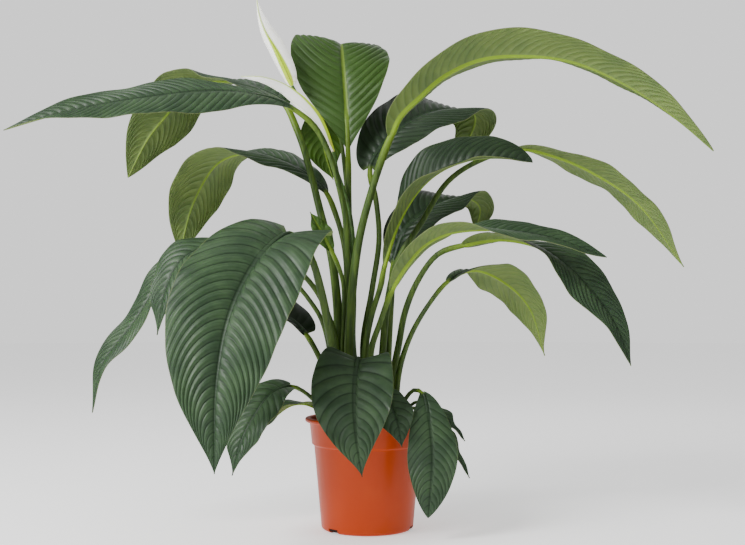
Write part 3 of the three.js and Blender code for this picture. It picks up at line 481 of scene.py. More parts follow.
def power(name, description, default):
    return FloatProperty(name=name, description=description, default=default, min=0, unit="POWER")


def number(name, description, default):
    return FloatProperty(name=name, description=description, default=default, min=0)


def count(name, description, default, least=0):
    return IntProperty(name=name, description=description, default=default, min=least)


class LeafSettings(bpy.types.PropertyGroup):
    thickness: length("Blade Thickness", "Thickness of a blade between its veins", 0.001)
    vein_pitch: length("Vein Pitch", "Spacing of the side veins on a blade with no width", 0.0125)
    vein_spread: number("Vein Spread", "How much the spacing grows with the blade's width", 0.03)
    vein_depth: length("Vein Depth", "How far the blade bulges between two side veins", 0.0026)
    vein_sweep: number("Vein Sweep", "How far a vein runs along the blade, in half widths", 1.15)
    furrow_depth: length("Furrow Depth", "Depth of the smaller furrows between veins", 0.0005)
    rows_per_vein: count("Rows per Vein", "Mesh rows from vein to vein", 12, least=6)
    columns: count("Columns", "Mesh columns on each half of a blade", 13, least=4)
    upper: colour("Upper Face", "Grown leaf, seen from above", "#2a3e28")
    upper_light: colour("Upper Face, Light", "Paler patches of the upper face", "#394f33")
    underside: colour("Underside", "Leaf seen from below", "#66793e")
    vein: colour("Veins", "Side veins", "#53683a")
    groove: colour("Grooves", "Sunken veins and midrib on the upper face", "#0e200e")
    # Painted shade: this dark green fills the sunken veins, the furrows and half of the midrib on the
    # upper face.
    midrib: colour("Midrib", "The midrib's underside and the neck of the stalk", "#7c9a22")
    stalk: colour("Stalk", "Leaf stalks", "#2f4419")
    stalk_light: colour("Stalk, Light", "Paler streaks along the stalks", "#475e20")
    # Painted shade: the near-black green that the upper face of a leaf in shadow is darkened to, with
    # a tone below 0.
    old: colour("Old Leaf", "Old leaf, at its darkest", "#101e0d")
    # The yellow-green of a young leaf, which also stands in for painted light shining through backlit
    # leaves.
    young: colour("Young Leaf", "Young leaf that light shines through", "#345208")
    margin: colour("Margin", "Thin dry line along the blade's edge", "#6d7446")


class BloomSettings(bpy.types.PropertyGroup):
    hood: colour("Hood", "The white hood", "#fcfcf6")
    stripe: colour("Hood Stripe", "Along the hood's midrib", "#a2bf12")
    dry: colour("Hood Foot", "The hood's narrow foot", "#a8904e")
    spike: colour("Spike", "The spike of florets", "#ece7bd")
    stalk: colour("Bloom Stalk", "Stalk under a bloom", "#466a2c")
    floret: length("Floret Size", "Radius of one floret", 0.0011)
    seed: count("Seed", "Changes the florets' sizes", 4)


class PotSettings(bpy.types.PropertyGroup):
    rim_radius: length("Rim Radius", "Outside of the rolled lip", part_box("pot")[1][0])
    height: length("Height", "From the floor to the top of the lip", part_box("pot")[1][2])
    wall: length("Wall", "Thickness of the plastic", 0.0022)
    sides: count("Sides", "Segments round the pot", 160, least=24)
    plastic: colour("Plastic", "Terracotta-coloured plastic", "#b03800")
    scuff: colour("Scuffs", "Dusty bloom and scuffs on the plastic", "#b8440a")


class SoilSettings(bpy.types.PropertyGroup):
    crumb: length("Crumb Size", "Radius of a middling crumb", 0.0024)
    density: number("Crumbs", "Crumbs per square metre", 60000)
    seed: count("Seed", "Changes where the crumbs lie", 11)
    peat: colour("Peat", "Dark peat", "#1f1510")
    fibre: colour("Fibre", "Paler bark and fibre", "#5a412c")


class StageSettings(bpy.types.PropertyGroup):
    floor: colour("Floor", "Pale studio floor", "#f2f2f2")
    radius: length("Floor Radius", "How far the floor reaches", 14.0)
    key: power("Key Light", "Power of the main soft light", 240)
    fill: power("Fill Light", "Power of the fill light", 4)
    back: power("Back Light", "Power of the light from behind", 8)
    sky: number("Overhead Light", "Strength of the white ceiling's light", 0.75)
    backdrop: number("Backdrop", "Brightness of the backdrop in the picture", 1.15)
    glow: number("Floor Glow", "Light from below through the white floor", 0.6)


# ---- Nodes ---------------------------------------------------------------------------------------


def fill(node, inputs):
    """Fills a node's inputs with values or links."""
    for key, value in inputs.items():
        if isinstance(value, bpy.types.NodeSocket):
            node.id_data.links.new(value, node.inputs[key])
        else:
            node.inputs[key].default_value = value


def add(tree, kind, inputs=None, **settings):
    """Adds a node, gives it its settings, and fills its inputs with values or links."""
    node = tree.nodes.new(kind)
    for name, value in settings.items():
        setattr(node, name, value)
    fill(node, inputs or {})
    return node


def calculate(tree, operation, *values):
    """The result of a math node whose inputs are the values in their order."""
    return add(tree, "ShaderNodeMath", dict(enumerate(values)), operation=operation).outputs[0]


def times(tree, first, second):
    return calculate(tree, "MULTIPLY", first, second)


def named(tree, name, kind="FLOAT"):
    """A piece's point attribute, in a geometry tree."""
    return add(tree, "GeometryNodeInputNamedAttribute", {"Name": name}, data_type=kind).outputs[0]


def random(tree, low, high, seed, kind):
    """A random value for every instance; a number and a vector have sockets of their own."""
    first, output = (2, 1) if kind == "FLOAT" else (0, 0)
    inputs = {first: low, first + 1: high, "Seed": seed}
    return add(tree, "FunctionNodeRandomValue", inputs, data_type=kind).outputs[output]


def join(tree, first, second):
    """Two geometries as one, in a geometry tree."""
    joined = add(tree, "GeometryNodeJoinGeometry", {"Geometry": first})
    tree.links.new(second, joined.inputs[0])
    return joined.outputs[0]


def new_tree(name, inputs):
    """An empty geometry tree with named inputs, its input node and its output node."""
    tree = bpy.data.node_groups.new(name, "GeometryNodeTree")
    tree.interface.new_socket("Geometry", in_out="INPUT", socket_type="NodeSocketGeometry")
    for socket_name, kind in inputs.items():
        tree.interface.new_socket(socket_name, in_out="INPUT", socket_type="NodeSocket" + kind)
    tree.interface.new_socket("Geometry", in_out="OUTPUT", socket_type="NodeSocketGeometry")
    return tree, add(tree, "NodeGroupInput").outputs, add(tree, "NodeGroupOutput")


def finish_tree(tree, geometry, material, output):
    """Ends a tree: real geometry with its material."""
    real = add(tree, "GeometryNodeRealizeInstances", {"Geometry": geometry}).outputs[0]
    painted = add(tree, "GeometryNodeSetMaterial", {"Geometry": real, "Material": material})
    tree.links.new(painted.outputs[0], output.inputs[0])
    return tree


def bake_tree(piece, tree, values):
    """Runs a tree on a piece once, and keeps the result as the piece's plain mesh."""
    modifier = piece.modifiers.new(tree.name, "NODES")
    modifier.node_group = tree
    for socket in tree.interface.items_tree:
        if socket.item_type == "SOCKET" and socket.in_out == "INPUT" and socket.name in values:
            modifier[socket.identifier] = values[socket.name]
    graph = bpy.context.evaluated_depsgraph_get()
    mesh = bpy.data.meshes.new_from_object(piece.evaluated_get(graph), depsgraph=graph)
    mesh.name = piece.name
    piece.modifiers.remove(modifier)
    before = piece.data
    piece.data = mesh
    bpy.data.meshes.remove(before)


def relief_tree():
    """Side veins: the blade bulges between them, on both of its faces alike, and has two smaller
    furrows from vein to vein. The sine of three times a turn follows from the sine of the turn."""
    sockets = {"Vein Depth": "Float", "Furrow Depth": "Float", "Material": "Material"}
    tree, source, output = new_tree("Side Veins", sockets)
    wave = named(tree, "vein_sine")
    triple = times(tree, wave, calculate(tree, "MULTIPLY_ADD", times(tree, wave, wave), -4, 3))
    furrow_depth = times(tree, source["Furrow Depth"], named(tree, "furrows"))
    height = 0
    for furrows, depth in ((wave, source["Vein Depth"]), (triple, furrow_depth)):
        level = calculate(tree, "SUBTRACT", calculate(tree, "ABSOLUTE", furrows), MEAN_HUMP)
        height = calculate(tree, "MULTIPLY_ADD", level, depth, height)
    height = times(tree, height, named(tree, "relief"))
    inputs = {0: named(tree, "up", "FLOAT_VECTOR"), "Scale": height}
    offset = add(tree, "ShaderNodeVectorMath", inputs, operation="SCALE").outputs[0]
    inputs = {"Geometry": source["Geometry"], "Offset": offset}
    moved = add(tree, "GeometryNodeSetPosition", inputs).outputs[0]
    return finish_tree(tree, moved, source["Material"], output)


def rod_tree():
    """A round stalk along a line of edges, tapering evenly from one end to the other."""
    inputs = {"Foot Radius": "Float", "Neck Radius": "Float", "Sides": "Int", "Material": "Material"}
    tree, source, output = new_tree("Round Stalk", inputs)
    curve = add(tree, "GeometryNodeMeshToCurve", {"Mesh": source["Geometry"]}).outputs[0]
    place = add(tree, "GeometryNodeSplineParameter").outputs["Factor"]
    radii = {"Value": place, "To Min": source["Foot Radius"], "To Max": source["Neck Radius"]}
    radius = add(tree, "ShaderNodeMapRange", radii).outputs[0]
    circle = {"Resolution": source["Sides"], "Radius": 1.0}
    ring = add(tree, "GeometryNodeCurvePrimitiveCircle", circle).outputs[0]
    swept = {"Curve": curve, "Profile Curve": ring, "Scale": radius, "Fill Caps": True}
    rod = add(tree, "GeometryNodeCurveToMesh", swept).outputs[0]
    smooth = add(tree, "GeometryNodeSetShadeSmooth", {"Geometry": rod}).outputs[0]
    return finish_tree(tree, smooth, source["Material"], output)


def floret_tree():
    """Florets: small domes, one on each chosen point of a spike, with slightly uneven sizes."""
    inputs = {"Floret Size": "Float", "Seed": "Int", "Material": "Material"}
    tree, source, output = new_tree("Florets", inputs)
    chosen = named(tree, "floret", "BOOLEAN")
    ball = {"Radius": source["Floret Size"], "Subdivisions": 2}
    dome = add(tree, "GeometryNodeMeshIcoSphere", ball).outputs[0]
    size = random(tree, 0.85, 1.15, source["Seed"], "FLOAT")
    placed = {"Points": source["Geometry"], "Selection": chosen, "Instance": dome, "Scale": size}
    domes = add(tree, "GeometryNodeInstanceOnPoints", placed).outputs[0]
    joined = join(tree, domes, source["Geometry"])
    smooth = add(tree, "GeometryNodeSetShadeSmooth", {"Geometry": joined}).outputs[0]
    return finish_tree(tree, smooth, source["Material"], output)


def crumb_tree():
    """Crumbs of peat, strewn over the faces of the soil that look up."""
    inputs = {"Crumb Size": "Float", "Density": "Float", "Seed": "Int", "Material": "Material"}
    tree, source, output = new_tree("Soil Crumbs", inputs)
    seed, top = source["Seed"], named(tree, "top")
    strewn = {"Mesh": source["Geometry"], "Selection": top, "Density": source["Density"], "Seed": seed}
    points = add(tree, "GeometryNodeDistributePointsOnFaces", strewn).outputs[0]
    ball = {"Radius": source["Crumb Size"], "Subdivisions": 1}
    crumb = add(tree, "GeometryNodeMeshIcoSphere", ball).outputs[0]
    size = random(tree, (0.35, 0.35, 0.25), (1.5, 1.2, 1.0), seed, "FLOAT_VECTOR")
    turn = random(tree, (0, 0, 0), (math.tau, math.tau, math.tau), seed, "FLOAT_VECTOR")
    placed = {"Points": points, "Instance": crumb, "Rotation": turn, "Scale": size}
    crumbs = add(tree, "GeometryNodeInstanceOnPoints", placed).outputs[0]
    joined = join(tree, crumbs, source["Geometry"])
    return finish_tree(tree, joined, source["Material"], output)


# ---- Materials -----------------------------------------------------------------------------------


def new_material(name):
    """A material with its node tree and its shader."""
    material = bpy.data.materials.new(name)
    material.use_nodes = True
    return material, material.node_tree, material.node_tree.nodes["Principled BSDF"]


def noise(tree, size, detail=3.0, roughness=0.55, coordinates=None):
    """Noise with features of a real size, in metres."""
    if coordinates is None:
        coordinates = add(tree, "ShaderNodeTexCoord").outputs["Object"]
    inputs = {"Vector": coordinates, "Scale": 1 / size, "Detail": detail, "Roughness": roughness}
    return add(tree, "ShaderNodeTexNoise", inputs).outputs["Fac"]


def steps(tree, value, low, high, start=0.0, end=1.0):
    """A smooth step from start, where the value is low, to end, where it is high."""
    inputs = {"Value": value, "From Min": low, "From Max": high, "To Min": start, "To Max": end}
    return add(tree, "ShaderNodeMapRange", inputs, interpolation_type="SMOOTHSTEP").outputs["Result"]


def blend(tree, factor, first, second):
    """From the first colour to the second as the factor goes from 0 to 1."""
    return add(tree, "ShaderNodeMix", {0: factor, 6: first, 7: second}, data_type="RGBA").outputs[2]


def emboss(tree, height, strength, depth):
    """Fine relief in the light only; depth is in metres."""
    inputs = {"Height": height, "Strength": strength, "Distance": depth}
    return add(tree, "ShaderNodeBump", inputs).outputs[0]


def streaky(tree, size, height, **settings):
    """Noise drawn out along the height, by one over the given part."""
    position = add(tree, "ShaderNodeTexCoord").outputs["Object"]
    upright = add(tree, "ShaderNodeMapping", {"Vector": position, "Scale": (1.0, 1.0, height)})
    return noise(tree, size, coordinates=upright.outputs[0], **settings)


def attribute(tree, name):
    """A piece's point attribute, in a material."""
    return add(tree, "ShaderNodeAttribute", attribute_name=name).outputs["Fac"]


def leaf_material(look):
    """Living leaf: a waxy, deep green upper face with a soft gloss and sunken side veins, with painted
    shade in the veins, the furrows and the midrib's groove, and a paler, duller underside that shows
    the yellow-green midrib and slightly darker veins. Young leaves are yellow-green with a pale midrib
    above, partly painted light through backlit leaves; leaves in shadow get painted shade that is
    nearly black on the upper face."""
    material, tree, shader = new_material("peace_lily_leaf")
    fill(shader, {"IOR": 1.45, "Specular IOR Level": 0.3, "Subsurface Weight": 0.12})
    fill(shader, {"Subsurface Radius": (0.4, 1.0, 0.2), "Subsurface Scale": 0.002})
    under = steps(tree, attribute(tree, "underside"), 0.4, 0.6)
    across, along, tone = (attribute(tree, name) for name in ("across", "along", "tone"))
    sine, cosine = attribute(tree, "vein_sine"), attribute(tree, "vein_cosine")
    from_vein = calculate(tree, "ABSOLUTE", sine)
    turn = calculate(tree, "ARCTAN2", sine, cosine)
    triple = calculate(tree, "SINE", times(tree, turn, 3.0))
    from_furrow = calculate(tree, "ABSOLUTE", triple)
    furrows = attribute(tree, "furrows")
    fine_veins = times(tree, calculate(tree, "COSINE", times(tree, turn, 6.0)), furrows)

    patches = steps(tree, noise(tree, 0.045), 0.35, 0.7)
    upper = blend(tree, patches, look.upper, look.upper_light)
    in_furrow = times(tree, steps(tree, from_furrow, 0.5, 0.0, 0.0, 0.3), furrows)
    # Painted shade on the upper face: the groove colour in the furrows and along the sunken side
    # veins.
    upper = blend(tree, in_furrow, upper, look.groove)
    upper = blend(tree, steps(tree, from_vein, 0.42, 0.0, 0.0, 0.7), upper, look.groove)
    lower = blend(tree, in_furrow, look.underside, look.vein)
    lower = blend(tree, steps(tree, from_vein, 0.42, 0.0, 0.0, 0.6), lower, look.vein)
    lower = blend(tree, times(tree, patches, 0.35), lower, look.upper_light)
    # Painted shade: leaves with a tone below 0 darken towards the old colour, fully on the upper face
    # and less on the underside.
    painted_shade = times(tree, steps(tree, tone, 0.0, -1.0), steps(tree, under, 0.0, 1.0, 1.0, 0.3))
    green = blend(tree, under, upper, lower)
    # Young yellow-green for tones above 0.1, partly painted light through backlit leaves.
    green = blend(tree, steps(tree, tone, 0.1, 1.0), green, look.young)
    green = blend(tree, painted_shade, green, look.old)
    on_rib = steps(tree, across, 0.018, 0.006)
    # Painted shade: the midrib on the upper face is half the groove colour, where it lies sunken.
    rib = blend(tree, 0.5, upper, look.groove)
    rib = blend(tree, times(tree, steps(tree, tone, 0.2, 0.5), 0.45), rib, look.midrib)
    fading = steps(tree, along, 0.3, 1.0, 0.0, 0.6)
    rib = blend(tree, under, rib, blend(tree, fading, look.midrib, lower))
    blade = blend(tree, on_rib, green, rib)
    blade = blend(tree, steps(tree, across, 0.985, 1.0, 0.0, 0.6), blade, look.margin)
    streaks = steps(tree, streaky(tree, 0.006, 0.08), 0.35, 0.65)
    stalk = blend(tree, streaks, look.stalk, look.stalk_light)
    stalk = blend(tree, steps(tree, along, -0.15, 0.0, 0.0, 0.5), stalk, look.midrib)
    paint = blend(tree, steps(tree, along, -0.02, 0.02), stalk, blade)

    dull = steps(tree, noise(tree, 0.012), 0.3, 0.7, 0.40, 0.52)
    roughness = calculate(tree, "ADD", dull, times(tree, under, 0.16))
    grain = noise(tree, 0.004, detail=2.0)
    relief = emboss(tree, calculate(tree, "ADD", times(tree, fine_veins, 0.25), grain), 0.35, 0.0005)
    fill(shader, {"Base Color": paint, "Roughness": roughness, "Normal": relief})
    return material


def hood_material(look):
    """Spathe tissue: thin and white, with a painted glow: it gives off light in its own colours,
    besides a little light scattered through it, with a yellow-green stripe on the midrib that fades
    towards the tip and a dry brownish foot."""
    material, tree, shader = new_material("spathe_tissue")
    # Painted glow: the hood gives off light of its own at this emission strength, though it is no
    # lamp.
    fill(shader, {"IOR": 1.42, "Roughness": 0.5, "Emission Strength": 0.4, "Subsurface Weight": 0.15})
    fill(shader, {"Subsurface Radius": (1.0, 1.0, 0.7), "Subsurface Scale": 0.003})
    across, along = attribute(tree, "across"), attribute(tree, "along")
    width = steps(tree, along, 0.0, 0.75, 0.34, 0.02)
    stripe = calculate(tree, "SUBTRACT", across, width)
    on_stripe = steps(tree, stripe, 0.1, -0.08)
    clouds = steps(tree, noise(tree, 0.02), 0.3, 0.8, 0.0, 0.15)
    cloudy = blend(tree, clouds, look.hood, look.spike)
    painted = blend(tree, on_stripe, cloudy, look.stripe)
    foot = steps(tree, along, 0.2, 0.02, 0.0, 0.55)
    patched = times(tree, foot, steps(tree, noise(tree, 0.01), 0.35, 0.6))
    paint = blend(tree, patched, painted, look.dry)
    relief = emboss(tree, calculate(tree, "SINE", times(tree, across, 60.0)), 0.25, 0.0003)
    # Painted glow in the hood's own colours: the paint is also the emission colour.
    fill(shader, {"Base Color": paint, "Emission Color": paint, "Normal": relief})
    return material


def plant_material(name, colours, roughness, grain):
    """Plain living tissue in two close shades, with a fine grain."""
    material, tree, shader = new_material(name)
    fill(shader, {"IOR": 1.42, "Roughness": roughness})
    fill(shader, {"Subsurface Weight": 0.1, "Subsurface Scale": 0.002})
    shades = steps(tree, noise(tree, grain * 8), 0.3, 0.7)
    paint = blend(tree, shades, colours[0], colours[1])
    relief = emboss(tree, noise(tree, grain), 0.3, 0.0003)
    fill(shader, {"Base Color": paint, "Normal": relief})
    return material


def pot_material(look):
    """Injection-moulded polypropylene: satin, evenly coloured, with faint upright flow marks, a
    dusty bloom and small scuffs that catch the light."""
    material, tree, shader = new_material("terracotta_polypropylene")
    fill(shader, {"IOR": 1.45, "Specular IOR Level": 0.25})
    flow = streaky(tree, 0.006, 0.06, detail=4.0)
    dust = steps(tree, noise(tree, 0.05, detail=6.0), 0.45, 0.75)
    paint = blend(tree, times(tree, dust, 0.25), look.plastic, look.scuff)
    roughness = steps(tree, flow, 0.3, 0.7, 0.34, 0.42)
    relief = emboss(tree, flow, 0.04, 0.0005)
    fill(shader, {"Base Color": paint, "Roughness": roughness, "Normal": relief})
    return material


def soil_material(look):
    """Moist peat mix: near black, rough, with paler bits of bark and fibre."""
    material, tree, shader = new_material("peat_mix")
    fill(shader, {"IOR": 1.35, "Roughness": 0.9})
    bits = steps(tree, noise(tree, 0.004, detail=5.0), 0.55, 0.72)
    paint = blend(tree, times(tree, bits, 0.6), look.peat, look.fibre)
    relief = emboss(tree, noise(tree, 0.002, detail=6.0), 0.8, 0.001)
    fill(shader, {"Base Color": paint, "Normal": relief})
    return material


def floor_material(look):
    """Matt white studio sheet, with a barely uneven surface, lit a little from below."""
    material, tree, shader = new_material("studio_sheet")
    fill(shader, {"Roughness": 0.8, "Emission Strength": look.glow, "Emission Color": (1, 1, 1, 1)})
    marks = steps(tree, noise(tree, 0.6), 0.2, 0.8, 0.0, 0.02)
    paint = blend(tree, marks, look.floor, linear("#d8d8d8"))
    fill(shader, {"Base Color": paint})
    return material


# ---- Meshes --------------------------------------------------------------------------------------


def link(name, data):
    """A new object at the origin, in the scene."""
    thing = bpy.data.objects.new(name, data)
    bpy.context.scene.collection.objects.link(thing)
    return thing


def new_piece(name, positions, faces, attributes=None):
    """A piece at the origin, from points in millimetres, with point attributes."""
    mesh = bpy.data.meshes.new(name)
    mesh.from_pydata((np.asarray(positions) * MM).tolist(), [], faces)
    for attribute_name, values in (attributes or {}).items():
        values = np.asarray(values, dtype=np.float32)
        kind, field = ("FLOAT_VECTOR", "vector") if values.ndim == 2 else ("FLOAT", "value")
        layer = mesh.attributes.new(attribute_name, kind, "POINT")
        layer.data.foreach_set(field, values.ravel())
    return link(name, mesh)


def tidy_mesh(piece, gap=2e-6, sharp=60):
    """Merges doubled points, turns the faces outwards and shades the piece smooth up to a crease."""
    shape = bmesh.new()
    shape.from_mesh(piece.data)
    bmesh.ops.remove_doubles(shape, verts=shape.verts, dist=gap)
    bmesh.ops.dissolve_degenerate(shape, edges=shape.edges, dist=gap)
    bmesh.ops.recalc_face_normals(shape, faces=shape.faces)
    shape.to_mesh(piece.data)
    shape.free()
    piece.data.polygons.foreach_set("use_smooth", [True] * len(piece.data.polygons))
    piece.data.set_sharp_from_angle(angle=math.radians(sharp))


def dress(piece, node):
    """Hides the frame's part that a finished piece replaces and attaches the piece to the root body.
    """
    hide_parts(node)
    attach(piece, "root")


def unit(values):
    return values / np.linalg.norm(values, axis=-1, keepdims=True)


def on_route(points, t):
    """The point at t, from 0 to 1, on a centripetal Catmull-Rom curve through the points."""
    place = (len(points) - 1) * min(max(t, 0.0), 1.0)
    i = min(int(place), len(points) - 2)
    part = place - i
    before = points[i - 1] if i > 0 else 2 * points[0] - points[1]
    after = points[i + 2] if i + 2 < len(points) else 2 * points[-1] - points[-2]
    p0, p1, p2, p3 = before, points[i], points[i + 1], after
    d0, d1, d2 = (np.sqrt(np.linalg.norm(b - a)) for a, b in ((p0, p1), (p1, p2), (p2, p3)))
    t1 = ((p1 - p0) / d0 - (p2 - p0) / (d0 + d1) + (p2 - p1) / d1) * d1
    t2 = ((p2 - p1) / d1 - (p3 - p1) / (d1 + d2) + (p3 - p2) / d2) * d1
    squared = (3 * (p2 - p1) - 2 * t1 - t2) * part**2
    return p1 + t1 * part + squared + (t1 + t2 - 2 * (p2 - p1)) * part**3


def along_route(route, values, u):
    """The values at u, which may be an array of any shape, where route holds the places of the
    rows of values."""
    return np.stack([np.interp(u, route, values[:, k]) for k in range(3)], axis=-1)


def walk(points, start, end, count):
    """Points at equal distances on a stretch of the route, and the stretch's length."""
    fine = np.array([on_route(points, t) for t in np.linspace(start, end, WALK_STEPS)])
    reach = np.concatenate([[0], np.cumsum(np.linalg.norm(np.diff(fine, axis=0), axis=1))])
    return along_route(reach, fine, np.linspace(0, reach[-1], count)), reach[-1]


def headings(points):
    """The direction of the way at each of its points."""
    return unit(np.gradient(points, axis=0))


def facing(faces, u):
    """The upper face's direction at u along the blade, between the directions in the table."""
    turns = unit(np.array(faces, float))
    return along_route(np.linspace(0, 1, len(faces)), turns, u)


def outline(leaf, u):
    """Width of the blade at u, as a part of its widest."""
    blunt, pointed = leaf["ends"]
    inside = np.clip(u, 1e-6, 1 - 1e-6)
    width = np.sin(np.pi * inside ** leaf["swell"]) ** (blunt + (pointed - blunt) * inside)
    return np.where((u <= 0) | (u >= 1), 0.0, width)


def tube_faces(rows, columns):
    """Quads between closed rings of points, with a flat face at each end."""
    around = np.arange(columns)
    faces = []
    for row in range(rows - 1):
        here, there = row * columns + around, (row + 1) * columns + around
        corners = np.stack([here, np.roll(here, -1), np.roll(there, -1), there], axis=1)
        faces += corners.tolist()
    faces.append(tuple(range(columns - 1, -1, -1)))
    faces.append(tuple(range((rows - 1) * columns, rows * columns)))
    return faces


def across_columns(look):
    """Columns across a leaf: the left half from its margin inwards, the midrib's arc, and the right
    half. Gives the distance from the midrib, the side, and the arc's place across and height."""
    half = np.linspace(0, 1, look.columns + 1)[1:]
    half = np.append(half, 1 - MARGIN_COLUMN / look.columns)
    half.sort()
    arc = np.radians(RIB_ARC)
    place = np.concatenate([-half[::-1], np.zeros(len(arc)), half])
    across = np.concatenate([-np.ones(len(half)), np.sin(arc), np.ones(len(half))])
    height = np.concatenate([np.zeros(len(half)), np.cos(arc), np.zeros(len(half))])
    side = np.where(place < 0, -1.0, 1.0)
    return np.abs(place)[None, :], side[None, :], across[None, :], height[None, :]


def blade_grid(leaf, look, seed):
    """Points and attributes of a leaf's skin, row by row: the stalk's rows and then the blade's.
    The blade's rows run along the side veins, so that the relief follows them cleanly."""
    path = np.array(leaf["path"], float)
    start = leaf["base"] / (len(path) - 1)
    foot, neck = leaf["stalk"]
    spine, blade_length = walk(path, start, 1, ROUTE_STEPS)
    route = np.linspace(0, 1, ROUTE_STEPS)
    widest = sum(leaf["halves"])
    pitch = look.vein_pitch / MM + look.vein_spread * widest
    veins = max(FEWEST_VEINS, round(blade_length / pitch))
    blade_rows = np.linspace(0, 1, veins * look.rows_per_vein + 1)
    stalk_rows = 0
    if leaf["base"] > 0:
        stalk_length = walk(path, 0, start, 2)[1]
        stalk_rows = max(FEWEST_STALK_ROWS, round(stalk_length / STALK_ROW))
    v, side_sign, rib_across, rib_height = across_columns(look)

    # Rows of the stalk come first, with u = 0 and no blade. A row of the blade bends towards the tip.
    u_row = np.concatenate([np.zeros(stalk_rows), blade_rows])[:, None]
    is_stalk = (np.arange(len(u_row)) < stalk_rows)[:, None]
    sweep = min(LONGEST_SWEEP, look.vein_sweep * widest / 2 / blade_length)
    u = u_row + sweep * 4 * u_row * (1 - u_row) * v**VEIN_CURVE
    point = along_route(route, spine, u)
    heading = unit(along_route(route, headings(spine), u))
    rib = neck + (TIP_RADIUS - neck) * u**RIB_TAPER
    along = u.copy()
    if stalk_rows:
        part = np.arange(stalk_rows) / stalk_rows
        stalk = walk(path, 0, start, stalk_rows + 1)[0][:-1]
        point[:stalk_rows] = stalk[:, None, :]
        heading[:stalk_rows] = headings(np.vstack([stalk, spine[:1]]))[:-1][:, None, :]
        knee = 1 + KNEE_SWELL * np.exp(-(((part - KNEE_PLACE) / KNEE_REACH) ** 2))
        rib[:stalk_rows] = ((foot + (neck - foot) * part) * knee)[:, None]
        along[:stalk_rows] = (part - 1)[:, None]
    face = facing(leaf["faces"], u)
    face = unit(face - heading * np.sum(face * heading, axis=-1, keepdims=True))
    side = np.cross(heading, face)

    # Each half blade rises from the midrib at its fold and turns down by its droop: a circle's arc.
    spread = np.where(is_stalk, 0.0, outline(leaf, u))
    which = (side_sign > 0).astype(int)
    half = np.array(leaf["halves"], float)[which]
    curl = np.array(leaf["curl"], float)[which]
    fold = np.radians(np.array(leaf["fold"], float)[which] + curl * u**2)
    droop = np.radians(np.array(leaf["droop"], float))[which]
    reach = np.maximum(half * spread - rib, 0)
    open_blade = (reach > 0) & (v > 0)
    slope = fold - droop * v
    out = reach * (np.sin(fold) - np.sin(slope)) / droop
    lift = reach * (np.cos(slope) - np.cos(fold)) / droop
    wave_height, wave_count = leaf["wave"]
    shift = np.where(side_sign < 0, 0.0, WAVE_SHIFT)
    fade = np.sin(np.pi * u)
    lift = lift + wave_height * v**2 * np.sin(2 * np.pi * wave_count * u + shift) * fade
    ripples = 2 * np.pi * (RIPPLE_COUNT * u + RIPPLE_SHIFT * seed) + RIPPLE_LAG * shift
    lift = lift + RIPPLE_HEIGHT * half * np.sin(ripples) * fade * v**3
    beside_rib = (1 - np.exp(-v / SHOULDER_WIDTH)) * np.minimum(spread * 2, 1)
    lift = np.where(open_blade, lift + SHOULDER_HEIGHT * beside_rib, 0.0)
    lobe = leaf["lobe"] * v**LOBE_BEND * np.maximum(0, 1 - 2 * u) ** 2
    back = np.where(open_blade, lobe, 0.0)

    # Both faces lie half a thickness from that arc, and the midrib's arc joins the two halves.
    x = side_sign * np.where(v > 0, rib + np.where(open_blade, out, 0.0), 0.0)
    x = np.where(v > 0, x, rib_across * rib)
    lean_x = np.where(open_blade, -side_sign * np.sin(slope), 0.0)
    lean_z = np.where(open_blade, np.cos(slope), 0.0)
    on_rib = (v == 0) & (rib_height >= 0)
    groove = np.where(is_stalk, 1.0, 1 - GROOVE_DEPTH * np.minimum(1, GROOVE_START * u))
    channel = np.where(is_stalk, CHANNEL_DEPTH, 0.0) * np.exp(-((rib_across / CHANNEL_WIDTH) ** 2))
    half_thick = np.where(spread > 0, look.thickness / MM / 2, 0.0)
    rib_top = rib_height * rib * groove - channel * rib + half_thick
    rib_bottom = -rib_height * rib - half_thick

    def place(xs, zs):
        return point + side * xs[..., None] + face * zs[..., None] - heading * back[..., None]

    def ring(first, second):
        return np.concatenate([first, second[:, ::-1]], axis=1)

    def both(values):
        return ring(values, values)

    upper = place(x + lean_x * half_thick, np.where(on_rib, rib_top, lift + lean_z * half_thick))
    lower = place(x - lean_x * half_thick, np.where(on_rib, rib_bottom, lift - lean_z * half_thick))

    turn = np.pi * (np.broadcast_to(u_row * veins, u.shape) + np.where(side_sign > 0, 0.5, 0.0))
    rise = np.clip((v - RELIEF_START) / RELIEF_RISE, 0, 1)
    rise = rise * np.clip((1 - v) / RELIEF_FALL, 0, 1) ** 0.5
    bulge = np.clip(widest / FULL_RELIEF_WIDTH, LEAST_RELIEF, MOST_RELIEF)
    furrows = np.clip((widest - FURROW_WIDTH) / FURROW_RANGE, 0, 1)
    attributes = {
        "underside": ring(np.zeros(u.shape), np.ones(u.shape)),
        "across": both(np.broadcast_to(v, u.shape)),
        "along": both(along),
        "vein_sine": both(np.sin(turn)),
        "vein_cosine": both(np.cos(turn)),
        "relief": both(rise * np.clip(spread * RELIEF_ENDS, 0, 1) * bulge),
        "furrows": both(np.full(u.shape, furrows)),
        "tone": both(np.full(u.shape, leaf.get("tone", TONE_STEP * (seed % TONE_COUNT)))),
        "up": both(side * lean_x[..., None] + face * np.where(open_blade, lean_z, 1.0)[..., None]),
    }
    return ring(upper, lower), attributes


def leaf_piece(name, leaf, look, seed):
    """A leaf or a hood as one closed skin, without its side veins."""
    points, attributes = blade_grid(leaf, look, seed)
    rows, columns = points.shape[:2]
    flat = {key: value.reshape(rows * columns, *value.shape[2:]) for key, value in attributes.items()}
    piece = new_piece(name, points.reshape(-1, 3), tube_faces(rows, columns), flat)
    tidy_mesh(piece)
    return piece


